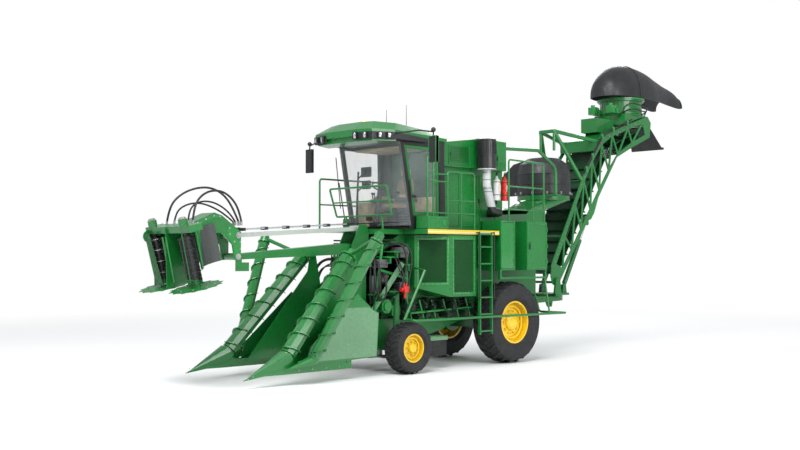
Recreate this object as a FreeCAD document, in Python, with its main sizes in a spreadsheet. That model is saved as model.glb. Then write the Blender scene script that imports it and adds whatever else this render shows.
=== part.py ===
"""Sugarcane harvester: a wheeled chopper harvester as a parametric document.

Frame: +X forward, +Y left, +Z up, millimetres. The origin is on the ground under the middle of
the rear axle, which is also the middle of the machine's length.
"""
import FreeCAD
import Part
import math
import os
import re

import Sketcher

# ---------------------------------------------------------------- driving dimensions

SIZES = {
    "Wheels": {
        "wheelbase": 2970,
        "rear_tyre_radius": 830, "rear_tyre_width": 560, "rear_track_half": 910,
        "rear_seat_radius": 410, "rear_rim_width": 440, "rear_hub_radius": 130,
        "rear_disc_place": 100, "rear_bolt_circle": 230, "rear_spindle_radius": 70,
        "front_tyre_radius": 478, "front_tyre_width": 400, "front_track_half": 1011,
        "front_seat_radius": 250, "front_rim_width": 300, "front_hub_radius": 80,
        "front_disc_place": 70, "front_bolt_circle": 125, "front_spindle_radius": 45,
        "rim_wall": 12, "rim_flange": 22, "disc_plate": 16, "bolt_hole_radius": 12,
        "tyre_gap": 0.5, "tyre_shoulder": 60, "pin_play": 0.05, "hub_depth": 130,
    },
    "Axles": {
        "axle_half_depth": 150, "axle_beam_half": 600, "final_drive_radius": 260,
        "final_drive_face": 760, "kingpin_half": 690, "kingpin_radius": 40,
        "kingpin_leg_radius": 62, "kingpin_leg_foot": 590, "kingpin_leg_top": 1560,
        "kingpin_arm_low": 1060, "kingpin_arm_high": 1260, "kingpin_arm_half": 110,
        "knuckle_gap": 8,
    },
    "Chassis": {
        "wall_inside": 455, "wall_plate": 30, "wall_front": 3560, "wall_foot": 420,
        "wall_nose_top": 2050, "roof_front": 2700, "roof_height": 2590, "roof_plate": 30,
        "roof_rear": -1000, "tail_x": -1500, "tail_top": 2000, "tail_low": 1300,
        "trough_front": 2500, "trough_front_z": 620, "trough_rear": -900, "trough_rear_z": 1330,
        "trough_plate": 20, "cutter_x": 3050, "cutter_half": 300, "cutter_leg_radius": 80,
        "cutter_leg_foot": 420, "cutter_box_low": 1150, "cutter_box_high": 1400,
        "cutter_shaft_radius": 40, "cutter_disc_radius": 225, "cutter_disc_z": 290,
        "cutter_disc_plate": 18, "cutter_blade_reach": 60, "cutter_blade_width": 80,
        "knock_x": 3720, "knock_z": 1560, "knock_core": 120, "knock_fin": 55,
        "knock_shaft": 30, "divider_shaft_x": 3720, "divider_shaft_z": 1100,
        "divider_shaft_radius": 35, "divider_shaft_end": 880,
        "slew_x": -2420, "slew_low": 1290, "slew_plate": 60, "slew_radius": 420,
        "slew_beam_half": 330, "tow_x": -2620, "tow_z": 1080, "tow_radius": 26, "tow_plate": 40,
        "tie_x": 3440, "tie_z": 560,
    },
    "Topper": {
        "mast_x": 3350, "mast_low_z": 2340, "mast_high_z": 2700, "mast_inside": 170,
        "mast_plate": 25, "topper_reach": 2890, "topper_drop": 170, "topper_pin": 25,
        "lower_arm_half": 120, "upper_arm_half": 90, "arm_boss": 60, "ear_inside": 130,
        "ear_plate": 25, "rotor_x": 7250, "rotor_half": 455, "rotor_z": 1680,
        "topper_tilt": 14, "topper_disc_radius": 400, "topper_tooth": 45, "topper_disc_plate": 8,
        "drum_core": 80, "drum_fin": 135, "drum_height": 800, "drum_low": 40,
        "head_beam_gap": 15, "head_beam_height": 110, "head_beam_half": 130,
        "head_beam_reach": 660, "shield_plate": 12, "shield_reach": 700, "hose_radius": 14,
    },
    "Dividers": {
        "shoe_half": 840, "shoe_width": 160, "shoe_tip_x": 6600, "shoe_root_x": 6230,
        "shoe_rear_x": 4300, "shoe_low": 190, "shoe_tip_z": 137,
        "side_sheet_place": 940, "side_sheet_plate": 12,
        "inner_low_x": 5690, "inner_low_y": 840, "inner_low_z": 500,
        "inner_top_x": 4150, "inner_top_y": 640, "inner_top_z": 2150,
        "inner_core": 135, "inner_flight": 38, "inner_pitch": 330,
        "outer_low_x": 5290, "outer_low_y": 1100, "outer_low_z": 475,
        "outer_top_x": 4340, "outer_top_y": 1600, "outer_top_z": 2430,
        "outer_core": 100, "outer_flight": 28, "outer_pitch": 330,
        "flight_plate": 12, "scroll_shaft": 25, "scroll_gap": 12, "scroll_cap": 70,
    },
    "Cab": {
        "cab_half": 870, "cab_wall": 60, "cab_floor": 2690, "cab_rear": 1800,
        "cab_front_low": 2725, "cab_front_high": 3040, "cab_top": 4400,
        "glass_bulge": 170, "glass_plate": 14, "roof_half": 1000, "visor_front": 3790,
        "cab_roof_top": 4700, "cab_roof_rear": 1780, "door_plate": 40, "door_gap": 6,
    },
    "Deck and boxes": {
        "deck_half": 1195, "deck_plate": 100, "deck_front": 2640, "deck_step": 560,
        "deck_rear": -1000, "deck_inner": 680, "tongue_front": 3200, "tongue_half": 540,
        "fascia_rear": 2070, "fascia_inside": 900, "fascia_height": 2935,
        "hood_front": 1760, "hood_rear": -130, "hood_half": 800, "hood_waist": 3950,
        "hood_lower_half": 690, "hood_rear_top": 4550, "hood_crest": 4570, "hood_front_top": 4420,
        "hood_wall": 25, "engine_rear": 300, "engine_front": 1400, "engine_half": 380,
        "engine_low": 2690, "engine_top": 3750,
        "box_rear": 1270, "box_corner": 2000, "box_front": 2520, "box_inner": 730,
        "box_low": 1400, "box_top": 2580, "screen_border": 55, "screen_depth": 14,
        "cabinet_front": 550, "cabinet_split": 90, "cabinet_mid": -280, "cabinet_rear": -960,
        "cabinet_low": 1890, "cabinet_top": 2900, "cabinet_inside": 720, "cabinet_outside": 1200,
        "cabinet_wall": 20, "cabinet_rail_z": 1715, "cabinet_rail": 40,
        "ladder_front": 1240, "ladder_rear": 860, "ladder_inside": 1215, "ladder_depth": 55,
        "ladder_bottom": 640, "rung_first": 710, "rung_pitch": 330, "ladder_rail": 30,
    },
    "Guards and fittings": {
        "rail_radius": 19, "guard_radius": 24, "guard_y": 1300, "guard_z": 995,
        "intake_x": 720, "intake_y": 1000, "intake_radius": 190, "intake_low": 3920,
        "intake_top": 4530, "intake_pipe_radius": 85,
        "bottle_radius": 75, "bottle_low": 3310, "bottle_high": 3800,
        "mirror_height": 480, "mirror_width": 190, "mirror_depth": 60,
    },
    "Extractor": {
        "ring_low": 3440, "ring_radius": 600, "dome_radius": 620, "dome_low": 3555,
        "dome_height": 905, "dome_wall": 14, "fan_radius": 480, "fan_z": 3475,
        "fan_hub": 110, "duct_wall": 15,
    },
    "Elevator": {
        "foot_x": -2220, "foot_z": 1610, "slope": 55, "frame_inside": 480, "frame_plate": 20,
        "belt_half": 440, "belt_plate": 25, "slat_height": 65, "slat_pitch": 300,
        "lower_chord": 30, "elevator_pin": 40, "table_gap": 8, "table_plate": 50,
        "lug_plate": 45, "lug_span": 380, "cylinder_y": 300, "cylinder_foot_x": -2740,
        "cylinder_foot_z": 1490,
        "cylinder_head_x": -3620, "cylinder_head_z": 2960, "barrel_radius": 55, "rod_radius": 30,
        "head_top": 5600, "cowl_x": -5560, "cowl_radius": 560, "cowl_low": 6090,
        "cowl_height": 850, "cowl_wall": 14, "cowl_tip": -7790, "throat_radius": 500,
        "flap_x": -6150, "flap_z": 5430, "flap_length": 820, "flap_angle": 40,
    },
}

doc = FreeCAD.newDocument("SugarcaneHarvester")
sheet = doc.addObject("Spreadsheet::Sheet", "Dims")
NAMES = set()
line = 1
for section, cells in SIZES.items():
    sheet.set(f"A{line}", section)
    line += 1
    for name, number in cells.items():
        sheet.set(f"A{line}", name)
        sheet.set(f"B{line}", str(number))
        sheet.setAlias(f"B{line}", name)
        NAMES.add(name)
        line += 1
doc.recompute()

# ---------------------------------------------------------------- helpers


def link(text):
    """Turn plain size names into references to the sheet."""
    return re.sub(r"[a-z][a-z_0-9]*", lambda m: "Dims." + m[0] if m[0] in NAMES else m[0], str(text))


def size(text):
    """The value of an expression in sheet names, in millimetres or degrees."""
    return float(sheet.evalExpression(link(text)))


def spot(x, y, z):
    return FreeCAD.Vector(size(x), size(y), size(z))


def bind(thing, **links):
    for name, text in links.items():
        thing.setExpression(name.replace("__", "."), link(text))


def body(label):
    made = doc.addObject("PartDesign::Body", label)
    made.Label = label
    made.AllowCompound = True
    return made


PLANES = {"XY": ("XY_Plane", 1), "XZ": ("XZ_Plane", -1), "YZ": ("YZ_Plane", 1)}


def sketch(owner, plane, offset="0"):
    """A sketch on one of the body's own planes, moved along that plane's normal."""
    made = owner.newObject("Sketcher::SketchObject", "Sketch")
    role, sign = PLANES[plane]
    base = next(f for f in owner.Origin.OriginFeatures if f.Role == role)
    made.AttachmentSupport = [(base, "")]
    made.MapMode = "FlatFace"
    bind(made, AttachmentOffset__Base__z=f"{sign} * ({offset})")
    return made


def hold(flat, kind, where, number, text):
    """Add one dimension to a sketch and tie it to the sheet."""
    index = flat.addConstraint(Sketcher.Constraint(kind, *where, number))
    flat.setExpression(f"Constraints[{index}]", link(text))


def outline(flat, points):
    """Closed outline through points (x, y) or (x, y, corner radius), each an expression."""
    spots = [FreeCAD.Vector(size(p[0]), size(p[1]), 0) for p in points]
    count = len(points)
    starts, ends, rounds = list(spots), list(spots), {}
    for i, point in enumerate(points):
        if len(point) == 3:
            here = spots[i]
            to_back = (spots[i - 1] - here).normalize()
            to_next = (spots[(i + 1) % count] - here).normalize()
            half = to_back.getAngle(to_next) / 2
            radius = size(point[2])
            ends[i] = here + to_back * (radius / math.tan(half))
            starts[i] = here + to_next * (radius / math.tan(half))
            rounds[i] = (here + (to_back + to_next).normalize() * (radius / math.sin(half)), radius)
    lines = [flat.addGeometry(Part.LineSegment(starts[i], ends[(i + 1) % count])) for i in range(count)]
    for i, point in enumerate(points):
        back, ahead = lines[i - 1], lines[i]
        if i in rounds:
            middle, radius = rounds[i]
            turn = (ends[i] - middle).cross(starts[i] - middle).z
            first, second = (ends[i], starts[i]) if turn > 0 else (starts[i], ends[i])
            angles = [math.atan2(e.y - middle.y, e.x - middle.x) for e in (first, second)]
            circle = Part.Circle(middle, FreeCAD.Vector(0, 0, 1), radius)
            arc = flat.addGeometry(Part.ArcOfCircle(circle, *angles))
            near, far = (1, 2) if turn > 0 else (2, 1)
            corner = flat.addGeometry(Part.Point(spots[i]), True)
            flat.addConstraint([Sketcher.Constraint("Tangent", back, 2, arc, near),
                                Sketcher.Constraint("Tangent", arc, far, ahead, 1),
                                Sketcher.Constraint("PointOnObject", corner, 1, back),
                                Sketcher.Constraint("PointOnObject", corner, 1, ahead)])
            hold(flat, "Radius", (arc,), radius, point[2])
            held = (corner, 1)
        else:
            flat.addConstraint(Sketcher.Constraint("Coincident", back, 2, ahead, 1))
            held = (ahead, 1)
        hold(flat, "DistanceX", (-1, 1) + held, spots[i].x, point[0])
        hold(flat, "DistanceY", (-1, 1) + held, spots[i].y, point[1])


def ring(flat, x, y, radius):
    """A circle in a sketch, its centre and radius tied to the sheet."""
    middle = FreeCAD.Vector(size(x), size(y), 0)
    circle = flat.addGeometry(Part.Circle(middle, FreeCAD.Vector(0, 0, 1), size(radius)))
    hold(flat, "DistanceX", (-1, 1, circle, 3), middle.x, x)
    hold(flat, "DistanceY", (-1, 1, circle, 3), middle.y, y)
    hold(flat, "Radius", (circle,), size(radius), radius)


def run_feature(owner, kind, flat, low, high):
    """Pad or pocket a sketch from its plane at low towards high, and check that it did its work."""
    before = 0 if owner.Shape.isNull() else owner.Shape.Volume
    made = owner.newObject("PartDesign::" + kind, kind)
    made.Profile = flat
    made.Reversed = kind == "Pocket"
    bind(made, Length=f"({high}) - ({low})")
    doc.recompute()
    gained = owner.Shape.Volume - before
    if (gained < 1) if kind == "Pad" else (gained > -1):
        raise RuntimeError(f"{kind} on {owner.Label} changed nothing")
    return made


def slab(owner, plane, points, low, high, cut=False):
    """A plate of the outline between two planes, added to the body or cut from it."""
    flat = sketch(owner, plane, high if plane == "XZ" else low)
    outline(flat, points)
    return run_feature(owner, "Pocket" if cut else "Pad", flat, low, high)


def barrel(owner, plane, x, y, radius, low, high, cut=False):
    """A round bar or bore between two planes."""
    flat = sketch(owner, plane, high if plane == "XZ" else low)
    ring(flat, x, y, radius)
    return run_feature(owner, "Pocket" if cut else "Pad", flat, low, high)


def turned(owner, plane, points, cut=False):
    """Turn an outline (radius, height) about the sketch's upright axis."""
    flat = sketch(owner, plane)
    outline(flat, points)
    made = owner.newObject("PartDesign::Groove" if cut else "PartDesign::Revolution", "Turned")
    made.Profile = flat
    made.ReferenceAxis = (flat, ["V_Axis"])
    made.Angle = 360
    doc.recompute()
    return made


def around(owner, feature, flat, count):
    """Repeat a feature around the normal of its sketch."""
    made = owner.newObject("PartDesign::PolarPattern", "Around")
    made.Originals = [feature]
    made.Axis = (flat, ["N_Axis"])
    made.Angle = 360
    made.Occurrences = count
    owner.Tip = made
    doc.recompute()
    return made


def rect(x0, x1, y0, y1, corner=None):
    """The four corners of a rectangle, with an optional corner radius."""
    points = [(x0, y0), (x1, y0), (x1, y1), (x0, y1)]
    return [p + (corner,) for p in points] if corner else points


def span(side, inner, outer):
    """Low and high planes of a piece between two distances from the middle, on either side."""
    return (inner, outer) if side > 0 else (f"-({outer})", f"-({inner})")


def pipe(route, radius, bend):
    """A round bar along straight runs joined by tangent arcs."""
    spots = [spot(*place) for place in route]
    edges, start = [], spots[0]
    for before, here, after in zip(spots, spots[1:], spots[2:]):
        back, on = (before - here).normalize(), (after - here).normalize()
        half = back.getAngle(on) / 2
        one, two = here + back * (bend / math.tan(half)), here + on * (bend / math.tan(half))
        inside = here + (back + on).normalize() * (bend / math.sin(half) - bend)
        edges += [Part.LineSegment(start, one).toShape(), Part.Arc(one, inside, two).toShape()]
        start = two
    edges.append(Part.LineSegment(start, spots[-1]).toShape())
    section = Part.Wire([Part.Circle(spots[0], spots[1] - spots[0], radius).toShape()])
    return Part.Wire(edges).makePipeShell([section], True, True)


def rod(start, end, radius):
    """A straight round bar between two points."""
    return Part.makeCylinder(radius, (end - start).Length, start, end - start)


def block(x0, x1, y0, y1, z0, z1):
    """A plain block between three pairs of limits."""
    low = spot(x0, y0, z0)
    high = spot(x1, y1, z1)
    return Part.makeBox(high.x - low.x, high.y - low.y, high.z - low.z, low)


def joined(shapes):
    """Weld shapes into one and drop the seams between their flat faces."""
    return shapes[0].multiFuse(shapes[1:]).removeSplitter()


def welded(shapes):
    """Weld shapes one after another, keeping their seams."""
    whole = shapes[0]
    for shape in shapes[1:]:
        whole = whole.fuse(shape)
    return whole


def feature(label, shape, place=None):
    """A sub-part whose shape is worked out here from the sheet."""
    made = doc.addObject("Part::Feature", label)
    made.Label = label
    made.Shape = shape
    made.Placement = place or FreeCAD.Placement()
    return made


def group(label, members, kind="Part::MultiFuse"):
    """Weld objects of the document into one sub-part, or keep them as a set."""
    made = doc.addObject(kind, label)
    made.Label = label
    if kind == "Part::Compound":
        made.Links = members
    else:
        made.Shapes = members
        made.Refine = False
    doc.recompute()
    return made


SIDES = (("left", 1), ("right", -1))
nodes = []

# ---------------------------------------------------------------- wheels and axles


def wheel(end, side, sign, axle_x):
    """A tyre and its pressed rim, turned about the axle and set at the wheel's place."""
    seat, radius, width = f"{end}_seat_radius", f"{end}_tyre_radius", f"{end}_tyre_width"
    rim_half, hub = f"{end}_rim_width / 2", f"{end}_hub_radius"
    bead = f"{rim_half} - 20"
    turn = FreeCAD.Rotation(FreeCAD.Vector(0, 0, 1), 0 if sign > 0 else 180)

    tyre = body(f"{end}_{side}_tyre")
    turned(tyre, "XY", [
        (f"{seat} + tyre_gap", f"-({bead})"),
        (f"{seat} + 2 * rim_flange", f"-({bead})"),
        (f"{seat} + 2 * rim_flange + 30", f"-{width} / 2", "tyre_shoulder / 2"),
        (radius, f"-{width} / 2 + 12", "tyre_shoulder"),
        (radius, f"{width} / 2 - 12", "tyre_shoulder"),
        (f"{seat} + 2 * rim_flange + 30", f"{width} / 2", "tyre_shoulder / 2"),
        (f"{seat} + 2 * rim_flange", bead),
        (f"{seat} + tyre_gap", bead)])

    rim = body(f"{end}_{side}_rim")
    turned(rim, "XY", [
        (f"{seat} - rim_wall", f"-{rim_half}"),
        (f"{seat} + rim_flange", f"-{rim_half}"),
        (f"{seat} + rim_flange", f"-{rim_half} + rim_wall"),
        (seat, f"-{rim_half} + rim_wall"),
        (seat, f"{rim_half} - rim_wall"),
        (f"{seat} + rim_flange", f"{rim_half} - rim_wall"),
        (f"{seat} + rim_flange", rim_half),
        (f"{seat} - rim_wall", rim_half)])
    disc, bore = f"{end}_disc_place", f"{end}_spindle_radius + pin_play"
    turned(rim, "XY", [
        (bore, "-hub_depth"), (hub, "-hub_depth"), (hub, disc),
        (f"{seat} - 2 * rim_wall", f"{disc} - 30"), (f"{seat} - rim_wall + 1", f"{disc} - 30"),
        (f"{seat} - rim_wall + 1", f"{disc} - 30 + disc_plate"),
        (f"{seat} - 2 * rim_wall - 15", f"{disc} - 30 + disc_plate"),
        (hub, f"{disc} + disc_plate"), (hub, f"{disc} + 45"), (f"{hub} - 15", f"{disc} + 60"),
        ("0", f"{disc} + 60"), ("0", "50"), (bore, "50")])
    flat = sketch(rim, "XZ", f"{disc} + 40")
    ring(flat, f"{end}_bolt_circle", "0", "bolt_hole_radius")
    hole = run_feature(rim, "Pocket", flat, f"{disc} - 60", f"{disc} + 40")
    around(rim, hole, flat, 8)
    for piece in (tyre, rim):
        piece.Placement.Rotation = turn
        bind(piece, Placement__Base__x=axle_x, Placement__Base__y=f"{sign} * {end}_track_half",
             Placement__Base__z=radius)
        nodes.append(piece)


for side, sign in SIDES:
    wheel("rear", side, sign, "0")
    wheel("front", side, sign, "wheelbase")

rear_axle = body("rear_axle")
slab(rear_axle, "XZ", rect("-axle_half_depth", "axle_half_depth", "rear_tyre_radius - axle_half_depth",
                           "rear_tyre_radius + axle_half_depth", "30"),
     "-axle_beam_half", "axle_beam_half")
for side, sign in SIDES:
    for radius, inner, outer in (("final_drive_radius", "axle_beam_half", "final_drive_face"),
                                 ("rear_spindle_radius", "final_drive_face", "rear_track_half + 40")):
        barrel(rear_axle, "XZ", "0", "rear_tyre_radius", radius, *span(sign, inner, outer))
nodes.append(rear_axle)

front_axle = body("front_axle")
for side, sign in SIDES:
    slab(front_axle, "XZ", rect("wheelbase - kingpin_arm_half", "wheelbase + kingpin_arm_half",
                                "kingpin_arm_low", "kingpin_arm_high", "20"),
         *span(sign, "wall_inside + wall_plate", "kingpin_half"))
    slab(front_axle, "XZ", [("wheelbase - 2 * kingpin_arm_half", "kingpin_arm_low - 40"),
                            ("wheelbase + 2 * kingpin_arm_half", "kingpin_arm_low - 40"),
                            ("wheelbase + kingpin_arm_half", "kingpin_leg_top"),
                            ("wheelbase - kingpin_arm_half", "kingpin_leg_top")],
         *span(sign, "wall_inside + wall_plate", "wall_inside + 2 * wall_plate"))
    barrel(front_axle, "XY", "wheelbase", f"{sign} * kingpin_half", "kingpin_leg_radius",
           "kingpin_leg_foot", "kingpin_leg_top")
    barrel(front_axle, "XY", "wheelbase", f"{sign} * kingpin_half", "kingpin_radius + pin_play",
           "kingpin_leg_foot", "kingpin_leg_foot + 310", cut=True)
nodes.append(front_axle)

for side, sign in SIDES:
    knuckle = body(f"{side}_knuckle")
    slab(knuckle, "XZ", rect("wheelbase - 85", "wheelbase + 85", "front_tyre_radius - 95",
                             "kingpin_leg_foot - knuckle_gap", "25"),
         *span(sign, "kingpin_half - 70", "kingpin_half + 75"))
    barrel(knuckle, "XY", "wheelbase", f"{sign} * kingpin_half", "kingpin_radius",
           "kingpin_leg_foot - 20", "kingpin_leg_foot + 300")
    barrel(knuckle, "XZ", "wheelbase", "front_tyre_radius", "front_spindle_radius",
           *span(sign, "kingpin_half + 60", "front_track_half + 40"))
    slab(knuckle, "XY", [("wheelbase - 60", f"{sign} * (kingpin_half - 60)"),
                         ("wheelbase - 250", f"{sign} * (kingpin_half - 30)"),
                         ("wheelbase - 250", f"{sign} * (kingpin_half + 20)"),
                         ("wheelbase - 60", f"{sign} * (kingpin_half + 50)")],
         "front_tyre_radius - 60", "front_tyre_radius - 30")
    nodes.append(knuckle)

# ---------------------------------------------------------------- chassis

chassis = body("chassis_frame")
WALL = [("wall_front", "wall_foot"), ("wall_front", "900"), ("wall_front + 240", "1020"),
        ("wall_front + 300", "1480"), ("wall_front + 300", "1640"), ("wall_front", "1860"),
        ("wall_front", "wall_nose_top"), ("roof_front", "roof_height"), ("roof_rear", "roof_height"),
        ("tail_x", "tail_top"), ("tail_x", "tail_low"), ("tail_x + 250", "tail_low - 150"),
        ("-600", "rear_tyre_radius + axle_half_depth"), ("600", "rear_tyre_radius + axle_half_depth"),
        ("trough_front - 200", "wall_foot + 100"), ("trough_front", "wall_foot")]
for side, sign in SIDES:
    slab(chassis, "XZ", WALL, *span(sign, "wall_inside", "wall_inside + wall_plate"))
INSIDE = ("-wall_inside", "wall_inside")
slab(chassis, "XZ", [("wall_front", "wall_nose_top"), ("roof_front", "roof_height"),
                     ("roof_rear", "roof_height"), ("tail_x", "tail_top"),
                     ("tail_x + 30", "tail_top - 15"), ("roof_rear + 15", "roof_height - roof_plate"),
                     ("roof_front - 10", "roof_height - roof_plate"),
                     ("wall_front - 12", "wall_nose_top - roof_plate")], *INSIDE)
slab(chassis, "XZ", [("trough_front", "trough_front_z"), ("trough_front", "trough_front_z + trough_plate"),
                     ("trough_rear", "trough_rear_z + trough_plate"), ("trough_rear", "trough_rear_z")],
     *INSIDE)
slab(chassis, "XZ", rect("cutter_x - 200", "cutter_x + 200", "cutter_box_low", "cutter_box_high", "40"),
     *INSIDE)
for side, sign in SIDES:
    barrel(chassis, "XY", "cutter_x", f"{sign} * cutter_half", "cutter_leg_radius",
           "cutter_leg_foot", "cutter_box_low + 20")
    barrel(chassis, "XY", "cutter_x", f"{sign} * cutter_half", "cutter_shaft_radius + pin_play",
           "cutter_leg_foot", "cutter_leg_foot + 200", cut=True)
    barrel(chassis, "XZ", "knock_x", "knock_z", "knock_shaft + pin_play",
           *span(sign, "wall_inside - 5", "wall_inside + wall_plate + 5"), cut=True)
    barrel(chassis, "XZ", "divider_shaft_x", "divider_shaft_z", "divider_shaft_radius",
           *span(sign, "wall_inside + wall_plate - 2", "divider_shaft_end"))
    slab(chassis, "XZ", [("mast_x - 135", "wall_nose_top + 150"), ("wall_front", "wall_nose_top - 20"),
                         ("mast_x + 290", "wall_nose_top + 60"), ("mast_x + 290", "mast_low_z + 20"),
                         ("mast_x + 90", "mast_high_z + 75", "30"), ("mast_x - 90", "mast_high_z + 75", "30"),
                         ("mast_x - 135", "mast_high_z - 110")],
         *span(sign, "mast_inside", "mast_inside + mast_plate"))
    slab(chassis, "XZ", [("tail_x + 450", "tail_low - 50"), ("tail_x + 450", "tail_low + 90"),
                         ("slew_x + 720", "slew_low - 10"), ("slew_x", "slew_low - 10"),
                         ("slew_x", "slew_low - 110"), ("tail_x", "tail_low - 150")],
         *span(sign, "slew_beam_half", "wall_inside"))
    barrel(chassis, "XZ", "tie_x", "tie_z", "tow_radius",
           *span(sign, "wall_inside - 5", "wall_inside + wall_plate + 5"), cut=True)
for height in ("mast_low_z", "mast_high_z"):
    barrel(chassis, "XZ", "mast_x", height, "topper_pin", "-mast_inside - 2", "mast_inside + 2")
barrel(chassis, "XY", "slew_x", "0", "slew_radius", "slew_low - 110", "slew_low")
slab(chassis, "XZ", [("tow_x - 110", "slew_low - 108"), ("tow_x - 70", "tow_z - 60", "40"),
                     ("tow_x + 70", "tow_z - 60", "40"), ("tow_x + 150", "slew_low - 108")],
     "-tow_plate / 2", "tow_plate / 2")
barrel(chassis, "XZ", "tow_x", "tow_z", "tow_radius", "-tow_plate / 2 - 5", "tow_plate / 2 + 5", cut=True)
nodes.append(chassis)

for side, sign in SIDES:
    disc = body(f"base_cutter_{side}")
    for radius, low, high in (("cutter_disc_radius", "cutter_disc_z - cutter_disc_plate", "cutter_disc_z"),
                              ("cutter_leg_radius - 10", "cutter_disc_z", "cutter_leg_foot - 10"),
                              ("cutter_shaft_radius", "cutter_leg_foot - 12", "cutter_leg_foot + 190")):
        barrel(disc, "XY", "0", "0", radius, low, high)
    flat = sketch(disc, "XY", "cutter_disc_z - cutter_disc_plate - 8")
    outline(flat, rect("cutter_disc_radius - 70", "cutter_disc_radius + cutter_blade_reach",
                       "-cutter_blade_width / 2", "cutter_blade_width / 2"))
    blade = run_feature(disc, "Pad", flat, "0", "8")
    around(disc, blade, flat, 5)
    bind(disc, Placement__Base__x="cutter_x", Placement__Base__y=f"{sign} * cutter_half")
    nodes.append(disc)

roller = body("knockdown_roller")
barrel(roller, "XZ", "0", "0", "knock_core", "-wall_inside + 12", "wall_inside - 12")
barrel(roller, "XZ", "0", "0", "knock_shaft", "-wall_inside - wall_plate", "wall_inside + wall_plate")
flat = sketch(roller, "XZ", "wall_inside - 30")
outline(flat, [("knock_core - 8", "-10"), ("knock_core + knock_fin", "-7"),
               ("knock_core + knock_fin", "7"), ("knock_core - 8", "10")])
fin = roller.newObject("PartDesign::Pad", "Fin")
fin.Profile = flat
bind(fin, Length="2 * wall_inside - 60")
doc.recompute()
around(roller, fin, flat, 8)
bind(roller, Placement__Base__x="knock_x", Placement__Base__z="knock_z")
nodes.append(roller)

# ---------------------------------------------------------------- topper

lower_arm = body("topper_lower_arm")
slab(lower_arm, "XZ", [("mast_x", "mast_low_z - arm_boss"), ("mast_x + 400", "mast_low_z - 130"),
                       ("mast_x + topper_reach", "mast_low_z - topper_drop - 55"),
                       ("mast_x + topper_reach", "mast_low_z - topper_drop + 40"),
                       ("mast_x + 400", "mast_low_z + 75"), ("mast_x", "mast_low_z + arm_boss")],
     "-lower_arm_half", "lower_arm_half")
upper_arm = body("topper_upper_arm")
slab(upper_arm, "XZ", [("mast_x", "mast_high_z - 38"),
                       ("mast_x + topper_reach", "mast_high_z - topper_drop - 38"),
                       ("mast_x + topper_reach", "mast_high_z - topper_drop + 38"),
                       ("mast_x", "mast_high_z + 38")],
     "-upper_arm_half", "upper_arm_half")
for arm, height in ((lower_arm, "mast_low_z"), (upper_arm, "mast_high_z")):
    for x, z in (("mast_x", height), ("mast_x + topper_reach", f"{height} - topper_drop")):
        barrel(arm, "XZ", x, z, "arm_boss", "-mast_inside + 6", "mast_inside - 6")
        barrel(arm, "XZ", x, z, "topper_pin + pin_play", "-mast_inside", "mast_inside", cut=True)
    nodes.append(arm)

tilt = FreeCAD.Placement(spot("rotor_x", "0", "rotor_z"),
                         FreeCAD.Rotation(FreeCAD.Vector(0, 1, 0), size("topper_tilt")))
BEAM_LOW = "drum_low + drum_height + head_beam_gap + 45"
BEAM_TOP = f"{BEAM_LOW} + head_beam_height"
beam = body("head_beam")
slab(beam, "XY", rect("-230", "40", "-head_beam_reach", "head_beam_reach", "30"), BEAM_LOW, BEAM_TOP)
for side, sign in SIDES:
    barrel(beam, "XY", "0", f"{sign} * rotor_half", "75", BEAM_TOP, f"{BEAM_TOP} + 110")
    barrel(beam, "XY", "0", f"{sign} * rotor_half", "30 + pin_play", BEAM_LOW, f"{BEAM_LOW} + 80", cut=True)
for y, front in (("-0.92 * head_beam_reach", "-87"), ("0", "60")):
    slab(beam, "XZ", [("-290", "30"), (f"{front} + 200", "30"), (front, BEAM_TOP), ("-290", BEAM_TOP)],
         f"{y} - shield_plate / 2", f"{y} + shield_plate / 2")
beam.Placement = tilt

neck = body("head_neck")
FRONT_X, LOW_Z = "mast_x + topper_reach", "mast_low_z - topper_drop"
HIGH_Z = "mast_high_z - topper_drop"
for side, sign in SIDES:
    slab(neck, "XZ", [(f"{FRONT_X} - 60", f"{LOW_Z} - 60"), (f"{FRONT_X} + 70", f"{LOW_Z} - 60"),
                      (f"{FRONT_X} + 120", f"{LOW_Z} + 200"), (f"{FRONT_X} + 340", f"{HIGH_Z} + 40"),
                      (f"{FRONT_X} + 1010", f"{HIGH_Z} + 20"), (f"{FRONT_X} + 1040", f"{HIGH_Z} + 150"),
                      (f"{FRONT_X} + 480", f"{HIGH_Z} + 375"), (f"{FRONT_X} + 330", f"{HIGH_Z} + 330"),
                      (f"{FRONT_X} - 60", f"{HIGH_Z} + 60")],
         *span(sign, "mast_inside", "mast_inside + mast_plate"))
slab(neck, "XZ", [(f"{FRONT_X} + 100", f"{HIGH_Z} + 165"), (f"{FRONT_X} + 330", f"{HIGH_Z} + 310"),
                  (f"{FRONT_X} + 470", f"{HIGH_Z} + 352"), (f"{FRONT_X} + 1010", f"{HIGH_Z} + 140"),
                  (f"{FRONT_X} + 1040", f"{HIGH_Z} + 150"), (f"{FRONT_X} + 480", f"{HIGH_Z} + 375"),
                  (f"{FRONT_X} + 330", f"{HIGH_Z} + 330"), (f"{FRONT_X} + 90", f"{HIGH_Z} + 180")],
     "-mast_inside - 2", "mast_inside + 2")
slab(neck, "XZ", rect(f"{FRONT_X} - 230", f"{FRONT_X} - 66", f"{LOW_Z} - 250", f"{LOW_Z} - 100"),
     "mast_inside", "mast_inside + mast_plate")
slab(neck, "XZ", rect(f"{FRONT_X} - 80", f"{FRONT_X} + 40", f"{LOW_Z} - 250", f"{LOW_Z} - 50"),
     "mast_inside", "mast_inside + mast_plate")
for height in (LOW_Z, HIGH_Z):
    barrel(neck, "XZ", FRONT_X, height, "topper_pin", "-mast_inside - 2", "mast_inside + 2")
nodes.append(group("topper_head", [beam, neck]))

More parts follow.
